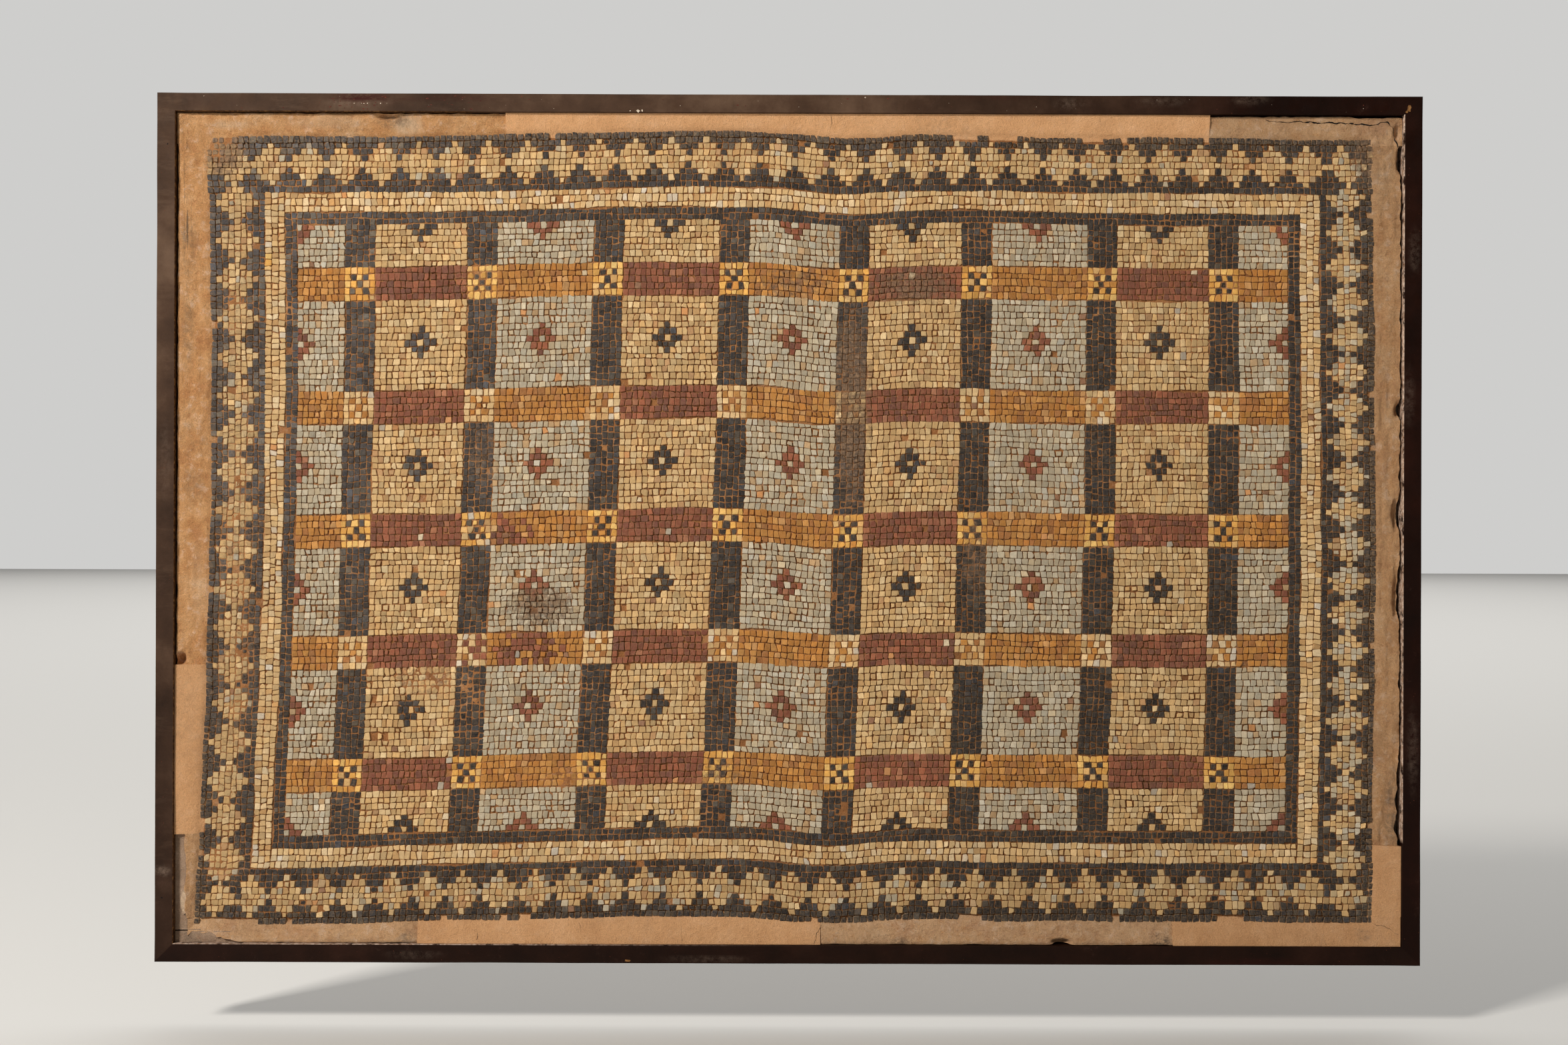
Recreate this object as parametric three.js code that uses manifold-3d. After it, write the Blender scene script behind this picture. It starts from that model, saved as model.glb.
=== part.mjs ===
// A floor mosaic lifted from its floor and reset on a cement slab in a steel frame, to hang on a wall.
// Millimetres. X runs along the width, Z is up, and the front faces -Y. The origin is at the middle
// of the flat back, which bears on the wall. "Height" below is the distance out from that wall.

import * as THREE from 'three';
import { mergeVertices } from 'three/addons/utils/BufferGeometryUtils.js';
import Module from 'manifold-3d';

const wasm = await Module();
wasm.setup();

// ---------------------------------------------------------------- driving dimensions

const PANEL_WIDTH = 1900;
const PANEL_HEIGHT = 1305;

// Frame: square steel bar, mitred and welded at the corners.
const BAR_FACE = 28;
const BAR_DEPTH = 48;

// Layers, as heights out from the wall.
const GAP = 0.3;
const FLATNESS = 0.001;
const SLAB_FRONT = 18;
const BED_FRONT = 24;
const MARGIN_FRONT = 32;
const STONE_FRONT = 34;
const REPAIR_CREST = 46;

// The mosaic was laid by eye, so its four corners make no true rectangle.
const CORNER_TOP_LEFT = [-869, 590];
const CORNER_TOP_RIGHT = [880, 588];
const CORNER_BOTTOM_RIGHT = [876, -588];
const CORNER_BOTTOM_LEFT = [-884, -588];
const MOSAIC_WIDTH = 1754;
const MOSAIC_HEIGHT = 1176;

// One tessera, and the widths of the bands of the border from the outside in.
const TESSERA = 9.5;
const BORDER = 84;
const FILLET_CREAM = 30;
const FILLET_BLACK = 18;
const TEETH_LONG = 28;
const TEETH_SHORT = 18;
const TOOTH_ROOT = 1 * TESSERA;
const TOOTH_TIP = 4 * TESSERA;

// The field: cells between upright black bands and level coloured bands.
const COLUMNS = 9;
const ROWS = 5;
const UPRIGHT = 45;
const UPRIGHT_PITCH = 185.7;
const LEVEL = 49;
const LEVEL_PITCH = 183;
const FLOWER_REACH = 2.6 * TESSERA;

// Stones of one colour in a row are held together by a thin web under the surface.
const FLOWER_WEB = 2;
const CELL_WEB = 2;
const ROW_WEB = 2;
const RAIL = 9;

// Newer mortar repairs: where each starts and ends along its side of the margin.
const REPAIR_TOP = [-428, 632];
const REPAIR_LEFT = [-462, -206];
const REPAIR_BOTTOM = [-557, 50];
const REPAIR_CORNER_ALONG = 579;
const REPAIR_CORNER_UP = -473;

// Mortar lost at the foot of the left side, baring the cement.
const LOST_TOP = -462;
const LOST_WIDTH = 18;
const LOST_CORNER_REACH = 88;
const LOST_CORNER_RISE = 22;

// ---------------------------------------------------------------- materials

function finish(color, roughness, metalness = 0) {
  return new THREE.MeshStandardMaterial({ color, roughness, metalness });
}

const paintedSteel = finish(0x46362d, 0.55, 0.3);
const cement = finish(0x8f8a82, 0.9);
const oldMortar = finish(0xc0926a, 0.92);
const newMortar = finish(0xc9a077, 0.9);
const blackStone = finish(0x3a332d, 0.6);
const buffStone = finish(0xcda67a, 0.7);
const creamStone = finish(0xdcc8a8, 0.7);
const greyStone = finish(0xbda98c, 0.7);
const redStone = finish(0x8e5741, 0.7);
const ochreStone = finish(0xbd8549, 0.7);
const yellowStone = finish(0xd8b074, 0.7);

// ---------------------------------------------------------------- solids

const group = new THREE.Group();

function toSolid(geometry) {
  geometry.deleteAttribute('normal');
  geometry.deleteAttribute('uv');
  const merged = mergeVertices(geometry, 1e-4);
  const mesh = new wasm.Mesh({
    numProp: 3,
    vertProperties: new Float32Array(merged.attributes.position.array),
    triVerts: new Uint32Array(merged.index.array),
  });
  return new wasm.Manifold(mesh);
}

function toGeometry(solid) {
  const mesh = solid.getMesh();
  const geometry = new THREE.BufferGeometry();
  geometry.setAttribute('position', new THREE.BufferAttribute(mesh.vertProperties, 3));
  geometry.setIndex(new THREE.BufferAttribute(mesh.triVerts, 1));
  return geometry;
}

function addMesh(name, solid, material) {
  const flat = toGeometry(solid).toNonIndexed();
  flat.computeVertexNormals();
  const mesh = new THREE.Mesh(flat, material);
  mesh.name = name;
  group.add(mesh);
  return mesh;
}

// The same solid with every corner carried to where `move` puts it.
function reshaped(solid, move) {
  const mesh = solid.asOriginal().simplify(FLATNESS).getMesh();
  for (let start = 0; start < mesh.vertProperties.length; start += 3) {
    const corner = Array.from(mesh.vertProperties.subarray(start, start + 3));
    mesh.vertProperties.set(move(corner), start);
  }
  return new wasm.Manifold(mesh);
}

// A plate with a flat outline of [x, z] points, from one height out from the wall to another.
function plate(outline, low, high, hole = null) {
  const toVector = ([x, z]) => new THREE.Vector2(x, z);
  const shape = new THREE.Shape(outline.map(toVector));
  if (hole) {
    shape.holes.push(new THREE.Path(hole.map(toVector)));
  }
  const geometry = new THREE.ExtrudeGeometry(shape, { depth: high - low, bevelEnabled: false });
  geometry.rotateX(Math.PI / 2);
  geometry.translate(0, -low, 0);
  return toSolid(geometry);
}

function rectangle(left, right, bottom, top) {
  return [[left, bottom], [right, bottom], [right, top], [left, top]];
}

function centredRectangle(width, height) {
  return rectangle(-width / 2, width / 2, -height / 2, height / 2);
}

function block(left, right, low, high, bottom, top) {
  return plate(rectangle(left, right, bottom, top), low, high);
}

function union(solids) {
  return solids.reduce((whole, next) => whole.add(next));
}

// ---------------------------------------------------------------- laying the mosaic

// Carries a point of the true rectangle to its place between the four real corners.
function lay(x, z) {
  const across = x / MOSAIC_WIDTH + 0.5;
  const up = z / MOSAIC_HEIGHT + 0.5;
  const mix = (axis) => {
    const low = THREE.MathUtils.lerp(CORNER_BOTTOM_LEFT[axis], CORNER_BOTTOM_RIGHT[axis], across);
    const high = THREE.MathUtils.lerp(CORNER_TOP_LEFT[axis], CORNER_TOP_RIGHT[axis], across);
    return THREE.MathUtils.lerp(low, high, up);
  };
  return [mix(0), mix(1)];
}

function laid(solid) {
  return reshaped(solid, ([x, y, z]) => {
    const [laidX, laidZ] = lay(x, z);
    return [laidX, y, laidZ];
  });
}

// ---------------------------------------------------------------- frame

// A bar of the frame as the top one lies: its outer edge on the X axis, its face to the front.
function frameBar(length) {
  const inner = length / 2 - BAR_FACE;
  const outline = [[-inner, -BAR_FACE], [inner, -BAR_FACE], [length / 2, 0], [-length / 2, 0]];
  return plate(outline, 0, BAR_DEPTH);
}

function addFrame() {
  const level = frameBar(PANEL_WIDTH - 2 * GAP);
  const upright = frameBar(PANEL_HEIGHT - 2 * GAP);
  addMesh('frame_top', level, paintedSteel).position.z = PANEL_HEIGHT / 2;
  const bottom = addMesh('frame_bottom', level, paintedSteel);
  bottom.position.z = -PANEL_HEIGHT / 2;
  bottom.rotation.y = Math.PI;
  const left = addMesh('frame_left', upright, paintedSteel);
  left.position.x = -PANEL_WIDTH / 2;
  left.rotation.y = -Math.PI / 2;
  const right = addMesh('frame_right', upright, paintedSteel);
  right.position.x = PANEL_WIDTH / 2;
  right.rotation.y = Math.PI / 2;
}

// ---------------------------------------------------------------- slab, bed and repairs

const INSIDE_WIDTH = PANEL_WIDTH - 2 * (BAR_FACE + GAP);
const INSIDE_HEIGHT = PANEL_HEIGHT - 2 * (BAR_FACE + GAP);
const INSIDE_LEFT = -INSIDE_WIDTH / 2;
const INSIDE_RIGHT = INSIDE_WIDTH / 2;
const INSIDE_BOTTOM = -INSIDE_HEIGHT / 2;
const INSIDE_TOP = INSIDE_HEIGHT / 2;

function mosaicRecess(clearance) {
  const outline = centredRectangle(MOSAIC_WIDTH + 2 * clearance, MOSAIC_HEIGHT + 2 * clearance);
  return laid(plate(outline, BED_FRONT, BAR_DEPTH));
}

function lostMortar() {
  return plate([
    [INSIDE_LEFT - 1, INSIDE_BOTTOM - 1],
    [INSIDE_LEFT + LOST_CORNER_REACH, INSIDE_BOTTOM - 1],
    [INSIDE_LEFT + LOST_WIDTH, INSIDE_BOTTOM + LOST_CORNER_RISE],
    [INSIDE_LEFT + LOST_WIDTH, LOST_TOP - LOST_WIDTH],
    [INSIDE_LEFT - 1, LOST_TOP],
  ], SLAB_FRONT, BAR_DEPTH);
}

// The room that each repair takes up, smaller by `clearance` where it meets the old mortar.
function repairRooms(clearance, past) {
  const low = BED_FRONT + clearance;
  const room = (left, right, bottom, top) => block(left, right, low, REPAIR_CREST, bottom, top);
  const [topFrom, topTo] = REPAIR_TOP;
  const [bottomFrom, bottomTo] = REPAIR_BOTTOM;
  const [leftFrom, leftTo] = REPAIR_LEFT;
  const left = INSIDE_LEFT - past;
  const right = INSIDE_RIGHT + past;
  const bottom = INSIDE_BOTTOM - past;
  const top = INSIDE_TOP + past;
  return {
    top: room(topFrom + clearance, topTo - clearance, 0, top),
    bottom: room(bottomFrom + clearance, bottomTo - clearance, bottom, 0),
    left: room(left, 0, leftFrom + clearance, leftTo - clearance),
    corner: room(REPAIR_CORNER_ALONG + clearance, right, bottom, REPAIR_CORNER_UP - clearance),
  };
}

// The air over the repairs, which slope from a crest at the frame down to the stones.
function airOverRepairs() {
  const reach = (PANEL_HEIGHT - MOSAIC_HEIGHT) / 2 - BAR_FACE;
  const mouth = REPAIR_CREST + 1;
  const straight = plate(centredRectangle(INSIDE_WIDTH, INSIDE_HEIGHT), STONE_FRONT, mouth);
  return reshaped(straight, ([x, y, z]) => {
    const inset = y > -mouth ? reach : 0;
    return [x - Math.sign(x) * inset, y, z - Math.sign(z) * inset];
  });
}

function addBacking() {
  const inside = (low, high) => block(INSIDE_LEFT, INSIDE_RIGHT, low, high, INSIDE_BOTTOM, INSIDE_TOP);
  addMesh('backing_slab', inside(0, SLAB_FRONT), cement);
  const bed = inside(SLAB_FRONT + GAP, MARGIN_FRONT)
    .subtract(mosaicRecess(GAP))
    .subtract(lostMortar())
    .subtract(union(Object.values(repairRooms(0, 1))));
  addMesh('setting_bed', bed, oldMortar);
  const air = airOverRepairs();
  for (const [side, room] of Object.entries(repairRooms(GAP, 0))) {
    addMesh(`repair_${side}`, room.subtract(mosaicRecess(GAP)).subtract(air), newMortar);
  }
}

// ---------------------------------------------------------------- border

// A closed line round the border at one depth in from its outside, toothed as far as `tip`.
function borderLine(root, tip = root) {
  const halfWidth = MOSAIC_WIDTH / 2;
  const halfHeight = MOSAIC_HEIGHT / 2;
  const line = [];
  const addSide = (far, teeth, place) => {
    line.push(place(root - far, root));
    if (tip === root) {
      return;
    }
    const run = 2 * (far - BORDER);
    for (let tooth = 0; tooth < teeth; tooth += 1) {
      line.push(place(run * (tooth / teeth - 0.5), root));
      line.push(place(run * ((tooth + 0.5) / teeth - 0.5), tip));
    }
    line.push(place(run / 2, root));
  };
  addSide(halfWidth, TEETH_LONG, (along, depth) => [along, depth - halfHeight]);
  addSide(halfHeight, TEETH_SHORT, (along, depth) => [halfWidth - depth, along]);
  addSide(halfWidth, TEETH_LONG, (along, depth) => [-along, halfHeight - depth]);
  addSide(halfHeight, TEETH_SHORT, (along, depth) => [depth - halfWidth, -along]);
  return line;
}

function addBorder() {
  const low = BED_FRONT + GAP;
  const ring = (outside, inside) => laid(plate(outside, low, STONE_FRONT, inside));
  const outerTeeth = borderLine(TOOTH_ROOT, TOOTH_TIP);
  const outerTeethClear = borderLine(TOOTH_ROOT + 2 * GAP, TOOTH_TIP + 2 * GAP);
  const innerRoot = BORDER - TOOTH_ROOT;
  const innerTip = BORDER - TOOTH_TIP;
  const innerTeeth = borderLine(innerRoot, innerTip);
  const innerTeethClear = borderLine(innerRoot - 2 * GAP, innerTip - 2 * GAP);
  addMesh('border_outer_black', ring(borderLine(0), outerTeeth), blackStone);
  addMesh('border_buff', ring(outerTeethClear, innerTeethClear), buffStone);
  addMesh('border_inner_black', ring(innerTeeth, borderLine(BORDER - GAP)), blackStone);
  const creamEnd = BORDER + FILLET_CREAM;
  const blackEnd = creamEnd + FILLET_BLACK;
  addMesh('fillet_cream', ring(borderLine(BORDER), borderLine(creamEnd - GAP)), creamStone);
  addMesh('fillet_black', ring(borderLine(creamEnd), borderLine(blackEnd - GAP)), blackStone);
}

// ---------------------------------------------------------------- field

const FIELD_INSET = BORDER + FILLET_CREAM + FILLET_BLACK;
const FIELD_RIGHT = MOSAIC_WIDTH / 2 - FIELD_INSET;
const FIELD_TOP = MOSAIC_HEIGHT / 2 - FIELD_INSET;
const FLOWER_WEB_TOP = BED_FRONT + GAP + FLOWER_WEB;
const CELL_LOW = FLOWER_WEB_TOP + GAP;
const ROW_LOW = CELL_LOW + CELL_WEB + GAP;
const ROW_WEB_TOP = ROW_LOW + ROW_WEB;

function uprightCentre(index) {
  return (index - (COLUMNS - 2) / 2) * UPRIGHT_PITCH;
}

function levelCentre(index) {
  return ((ROWS - 1) / 2 - index) * LEVEL_PITCH;
}

// The left and right edge of a column of cells; the end columns are half cells.
function columnSpan(column) {
  const left = column === 0 ? -FIELD_RIGHT : uprightCentre(column - 1) + UPRIGHT / 2;
  const right = column === COLUMNS - 1 ? FIELD_RIGHT : uprightCentre(column) - UPRIGHT / 2;
  return [left + GAP / 2, right - GAP / 2];
}

// Grooves across the whole field that hold the level bands.
function levelGrooves() {
  const grooves = [];
  const end = FIELD_RIGHT + 1;
  const half = LEVEL / 2 + GAP;
  for (let row = 0; row < ROWS; row += 1) {
    const centre = levelCentre(row);
    grooves.push(block(-end, end, ROW_LOW - GAP, BAR_DEPTH, centre - half, centre + half));
  }
  return union(grooves);
}

// The middle of a column's flowers, which sits on the field's edge in a half cell.
function flowerX(column) {
  return (column - (COLUMNS - 1) / 2) * UPRIGHT_PITCH;
}

function flowerHeights() {
  const heights = [FIELD_TOP, -FIELD_TOP];
  for (let row = 0; row < ROWS - 1; row += 1) {
    heights.push((levelCentre(row) + levelCentre(row + 1)) / 2);
  }
  return heights;
}

function flowers(column, grow, high) {
  const reach = FLOWER_REACH + grow;
  const edge = FIELD_RIGHT + (grow > 0 ? 1 : -GAP);
  const edgeTop = FIELD_TOP + (grow > 0 ? 1 : -GAP);
  const x = THREE.MathUtils.clamp(flowerX(column), -FIELD_RIGHT, FIELD_RIGHT);
  const diamonds = flowerHeights().map((z) => plate([
    [x - reach, z], [x, z - reach], [x + reach, z], [x, z + reach],
  ], BED_FRONT + GAP, high));
  const inField = block(-edge, edge, 0, BAR_DEPTH, -edgeTop, edgeTop);
  return union(diamonds).intersect(inField);
}

function addColumns(grooves) {
  for (let column = 0; column < COLUMNS; column += 1) {
    const [left, right] = columnSpan(column);
    const isGrey = column % 2 === 0;
    const cells = block(left, right, CELL_LOW, STONE_FRONT, -FIELD_TOP, FIELD_TOP)
      .subtract(grooves)
      .subtract(flowers(column, 2 * GAP, BAR_DEPTH));
    addMesh(`cells_${column + 1}`, laid(cells), isGrey ? greyStone : buffStone);
    const middle = THREE.MathUtils.clamp(flowerX(column), left + RAIL / 2, right - RAIL / 2);
    const web = block(middle - RAIL / 2, middle + RAIL / 2, BED_FRONT + GAP, FLOWER_WEB_TOP,
      -FIELD_TOP + GAP, FIELD_TOP - GAP);
    const bouquet = flowers(column, 0, STONE_FRONT).add(web);
    addMesh(`flowers_${column + 1}`, laid(bouquet), isGrey ? redStone : blackStone);
  }
}

function addUprights(grooves) {
  for (let index = 0; index < COLUMNS - 1; index += 1) {
    const centre = uprightCentre(index);
    const half = (UPRIGHT - GAP) / 2;
    const band = block(centre - half, centre + half, CELL_LOW, STONE_FRONT, -FIELD_TOP, FIELD_TOP);
    addMesh(`upright_${index + 1}`, laid(band.subtract(grooves)), blackStone);
  }
}

// Blocks of one colour along a level band, on a rail of their own beside the rails of the others.
// Lane 1 is flush with the top of the band, 0 is along its middle and -1 is flush with its foot.
function inlaidRow(row, spans, lane) {
  const centre = levelCentre(row);
  const half = LEVEL / 2;
  const rail = centre + lane * (half - RAIL / 2);
  const pieces = [block(-FIELD_RIGHT, FIELD_RIGHT, ROW_LOW, ROW_WEB_TOP, rail - RAIL / 2, rail + RAIL / 2)];
  for (const [left, right] of spans) {
    pieces.push(block(left, right, ROW_WEB_TOP + GAP, STONE_FRONT, centre - half, centre + half));
    pieces.push(block(left, right, ROW_LOW, STONE_FRONT - GAP, rail - RAIL / 2, rail + RAIL / 2));
  }
  return laid(union(pieces));
}

function addLevels() {
  const spans = Array.from({ length: COLUMNS }, (_, column) => columnSpan(column));
  const crossings = Array.from({ length: COLUMNS - 1 }, (_, index) => {
    const centre = uprightCentre(index);
    return [centre - (UPRIGHT - GAP) / 2, centre + (UPRIGHT - GAP) / 2];
  });
  for (let row = 0; row < ROWS; row += 1) {
    const ochre = spans.filter((_, column) => column % 2 === 0);
    const red = spans.filter((_, column) => column % 2 === 1);
    const ground = row % 2 === 0 ? yellowStone : creamStone;
    addMesh(`level_ochre_${row + 1}`, inlaidRow(row, ochre, 1), ochreStone);
    addMesh(`level_red_${row + 1}`, inlaidRow(row, red, -1), redStone);
    addMesh(`crossings_${row + 1}`, inlaidRow(row, crossings, 0), ground);
  }
}

// ---------------------------------------------------------------- the panel

addFrame();
addBacking();
addBorder();
const grooves = levelGrooves();
addColumns(grooves);
addUprights(grooves);
addLevels();

export default group;
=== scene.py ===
# %% [markdown]
# # An old floor mosaic, reset in a steel frame
#
# The real thing is a piece of floor: some twenty-four thousand small cut stones, pressed by hand into
# lime mortar, later lifted, backed with cement and framed to hang on a wall. This lesson builds it
# in easy steps: first the stones, then the mortar round them, the repairs, the slab and the frame. Every
# surface is worked out as whole numpy arrays, because a Python loop over almost half a million corners
# would take minutes.

import bpy
import numpy as np
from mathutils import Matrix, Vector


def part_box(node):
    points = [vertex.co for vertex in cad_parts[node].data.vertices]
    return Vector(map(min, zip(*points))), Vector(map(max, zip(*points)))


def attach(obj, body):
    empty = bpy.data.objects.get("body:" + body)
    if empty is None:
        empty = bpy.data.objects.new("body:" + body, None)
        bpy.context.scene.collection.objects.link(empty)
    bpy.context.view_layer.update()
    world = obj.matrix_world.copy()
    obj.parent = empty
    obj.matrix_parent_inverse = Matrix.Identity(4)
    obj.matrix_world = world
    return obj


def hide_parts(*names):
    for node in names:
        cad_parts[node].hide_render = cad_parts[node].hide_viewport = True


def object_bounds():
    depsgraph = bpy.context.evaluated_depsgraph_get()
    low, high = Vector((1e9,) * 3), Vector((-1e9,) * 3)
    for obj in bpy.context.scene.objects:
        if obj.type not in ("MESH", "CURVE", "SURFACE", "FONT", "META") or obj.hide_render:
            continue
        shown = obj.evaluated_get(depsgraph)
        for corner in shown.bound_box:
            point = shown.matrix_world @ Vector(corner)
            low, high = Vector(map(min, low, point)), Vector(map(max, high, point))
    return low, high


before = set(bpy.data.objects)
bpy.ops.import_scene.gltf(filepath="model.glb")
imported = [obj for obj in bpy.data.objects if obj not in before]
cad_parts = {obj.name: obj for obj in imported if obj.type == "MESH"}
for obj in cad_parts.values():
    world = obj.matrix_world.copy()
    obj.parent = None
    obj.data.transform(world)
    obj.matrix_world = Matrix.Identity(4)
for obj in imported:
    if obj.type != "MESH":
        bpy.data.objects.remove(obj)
cad_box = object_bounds()
MM = 0.001
panel_low, panel_high = (np.array(corner) / MM for corner in cad_box)
print("CAD box in mm:", panel_low.round(1), panel_high.round(1))

# %% [markdown]
# ## Measures
#
# The frame and the layers are read from the CAD nodes, so nothing has to be fitted afterwards. The
# mosaic itself was laid by eye: its corners make no true rectangle, its sides bulge, its columns lean,
# and its rows rise in one place and dip in another. A few named amounts say all of that, and they are
# easier to change than thousands of measured places.

# %% Layers and outlines
def span(node, axis):
    """The lowest and highest value of a CAD node along one axis, in millimetres."""
    low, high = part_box(node)
    return low[axis] / MM, high[axis] / MM


FRAME_FRONT = -span("frame_top", 1)[0]
BAR_FACE = span("frame_top", 2)[1] - span("frame_top", 2)[0]
SLAB_FRONT = -span("backing_slab", 1)[0]
STONE_FRONT = -span("border_buff", 1)[0]
REPAIR_CREST = -span("repair_top", 1)[0]
LAYER_BACK = SLAB_FRONT + 0.5
HALF_WIDTH = panel_high[0]
HALF_HEIGHT = panel_high[2]
INSIDE_X = HALF_WIDTH - BAR_FACE
INSIDE_Z = HALF_HEIGHT - BAR_FACE

MOSAIC_WIDTH = 1754.0
MOSAIC_HEIGHT = 1176.0
TOP_LEFT = np.array([-880.0, 588.0])
TOP_RIGHT = np.array([879.5, 591.0])
BOTTOM_LEFT = np.array([-896.0, -600.0])
BOTTOM_RIGHT = np.array([883.5, -584.5])
COLUMN_LEAN = 28.0
LEAN_SKEW = 0.82
HILLS = [(0.44, 0.23, 11.2), (0.54, 0.05, -9.4)]
LEFT_BULGE = 12.5
RIGHT_BULGE = 6.7
WANDER = 1.4

print("stones stand", STONE_FRONT, "mm off the wall, the frame", FRAME_FRONT, "mm")


# %% [markdown]
# ### Noise and soft places
#
# Nothing laid by hand is even, so heights, joints and stains all wander. A noise texture can only
# colour or bump a surface that is there. Noise as a function of place moves the points themselves, and
# the next piece can ask for the same numbers again, so that cracks lie on their mortar.

# %% Smooth noise in numpy
def waves(x, z, size, seed):
    """Value noise: random numbers on a lattice of the given size, blended by 3f^2 - 2f^3 between."""
    table = np.random.default_rng(seed).uniform(-1, 1, (64, 64))
    u = np.asarray(x) / size + 17.3
    v = np.asarray(z) / size + 11.7
    i, j = np.floor(u).astype(int), np.floor(v).astype(int)
    f, g = u - i, v - j
    f, g = f * f * (3 - 2 * f), g * g * (3 - 2 * g)

    def node(a, b):
        """The random number at one corner of each point's lattice square."""
        return table[(i + a) % 64, (j + b) % 64]

    low = node(0, 0) * (1 - f) + node(1, 0) * f
    high = node(0, 1) * (1 - f) + node(1, 1) * f
    return low * (1 - g) + high * g


def rough(x, z, size, seed, octaves=3):
    """Fractal noise: each octave has half the size and half the height of the one before."""
    total = np.zeros(np.broadcast(x, z).shape)
    for octave in range(octaves):
        total += waves(x, z, size / 2**octave, seed + octave) / 2**octave
    return total


def patch(x, z, centre, radii):
    """A soft oval: 1 in its middle, falling as exp(-d^4) to nothing past its radii."""
    d = ((x - centre[0]) / radii[0]) ** 2 + ((z - centre[1]) / radii[1]) ** 2
    return np.exp(-(d**2))


# %% [markdown]
# ### From the plan to the floor
#
# All stones are planned on a true rectangle, where counting is easy, and carried to their real places
# at the end. A lattice could bend the plan too, but a function can also be asked where an edge runs,
# which the mortar round the mosaic needs.

# %% Lay the true rectangle on the real floor
def lay(x, z):
    """Carries the true rectangle to the laid one, with s and t from 0 to 1 across and up: a blend of
    the four corners, a lean of (t - 1/2) sin(pi s^0.82), sides that bulge by sin(pi t), a bell-shaped
    hill and dip exp(-((s - place) / width)^2) in the rows, and a small wander."""
    s = x / MOSAIC_WIDTH + 0.5
    t = z / MOSAIC_HEIGHT + 0.5
    corners = np.stack([BOTTOM_LEFT, BOTTOM_RIGHT, TOP_LEFT, TOP_RIGHT])
    shares = np.stack([(1 - s) * (1 - t), s * (1 - t), (1 - s) * t, s * t])
    laid_x, laid_z = np.einsum("kc,k...->c...", corners, shares)
    laid_x = laid_x + COLUMN_LEAN * (t - 0.5) * np.sin(np.pi * np.clip(s, 0, 1) ** LEAN_SKEW)
    laid_x = laid_x + np.sin(np.pi * np.clip(t, 0, 1)) * (LEFT_BULGE * (1 - s) ** 2 + RIGHT_BULGE * s**2)
    for hill_place, hill_width, rise in HILLS:
        laid_z = laid_z + rise * np.exp(-(((s - hill_place) / hill_width) ** 2))
    laid_x = laid_x + WANDER * waves(x, z, 90, 1)
    laid_z = laid_z + WANDER * waves(x, z, 120, 2)
    return laid_x, laid_z


# %% [markdown]
# ## The camera and the light
#
# The panel is looked at straight on from a few paces, with a normal lens, so that the inner walls of
# the frame just show. The light is a large soft window-like lamp up on the left: raking light is what
# makes each stone stand out from its joint. A second lamp hangs far behind the panel and only lights
# the floor. The floor and the world are plain and pale.

# %% Camera
VIEW_DISTANCE = 3.2
SEEN_WIDTH = 2.353
AIM = np.array([-0.007, 0.010])
ROLL = -0.0033

lens = bpy.data.cameras.new("camera")
lens.sensor_width = 36.0
lens.lens = lens.sensor_width * VIEW_DISTANCE / SEEN_WIDTH
camera = bpy.data.objects.new("camera", lens)
camera.location = (AIM[0], -VIEW_DISTANCE - FRAME_FRONT * MM, AIM[1])
camera.rotation_euler = (np.pi / 2, ROLL, 0)
bpy.context.scene.collection.objects.link(camera)
bpy.context.scene.camera = camera
print(f"lens {lens.lens:.1f} mm at {VIEW_DISTANCE} m")


# %% Floor, lamps and world
def area_lamp(name, place, target, size, power, colour):
    """A square lamp at a place, turned to face a target."""
    data = bpy.data.lights.new(name, "AREA")
    data.size = size
    data.energy = power
    data.color = colour
    lamp = bpy.data.objects.new(name, data)
    lamp.location = place
    away = np.array(place) - np.array(target)
    tilt = np.arccos(away[2] / np.linalg.norm(away))
    lamp.rotation_euler = (tilt, 0, np.arctan2(away[1], away[0]) + np.pi / 2)
    bpy.context.scene.collection.objects.link(lamp)


def stage_floor(drop, reach):
    """One big square under the hung panel."""
    corners = [(-reach, -reach), (reach, -reach), (reach, reach), (-reach, reach)]
    mesh = bpy.data.meshes.new("floor")
    mesh.from_pydata([(x, y, drop) for x, y in corners], [], [(0, 1, 2, 3)])
    floor = bpy.data.objects.new("floor", mesh)
    bpy.context.scene.collection.objects.link(floor)
    paint = bpy.data.materials.new("floor")
    paint.use_nodes = True
    shader = paint.node_tree.nodes["Principled BSDF"]
    shader.inputs["Base Color"].default_value = (0.62, 0.61, 0.59, 1)
    shader.inputs["Roughness"].default_value = 0.9
    mesh.materials.append(paint)


def studio_world(seen, given):
    """A plain studio: the camera sees a pale wall of strength `seen`, and surfaces get the light of a
    dim one of strength `given`, so that the lamp's shadows stay crisp."""
    world = bpy.data.worlds.new("world")
    world.use_nodes = True
    background = world.node_tree.nodes["Background"]
    background.inputs["Color"].default_value = (0.86, 0.855, 0.84, 1)
    to_camera = world.node_tree.nodes.new("ShaderNodeLightPath").outputs["Is Camera Ray"]
    strength = world.node_tree.nodes.new("ShaderNodeMapRange")
    strength.inputs["To Min"].default_value = given
    strength.inputs["To Max"].default_value = seen
    world.node_tree.links.new(to_camera, strength.inputs["Value"])
    world.node_tree.links.new(strength.outputs["Result"], background.inputs["Strength"])
    bpy.context.scene.world = world


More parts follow.
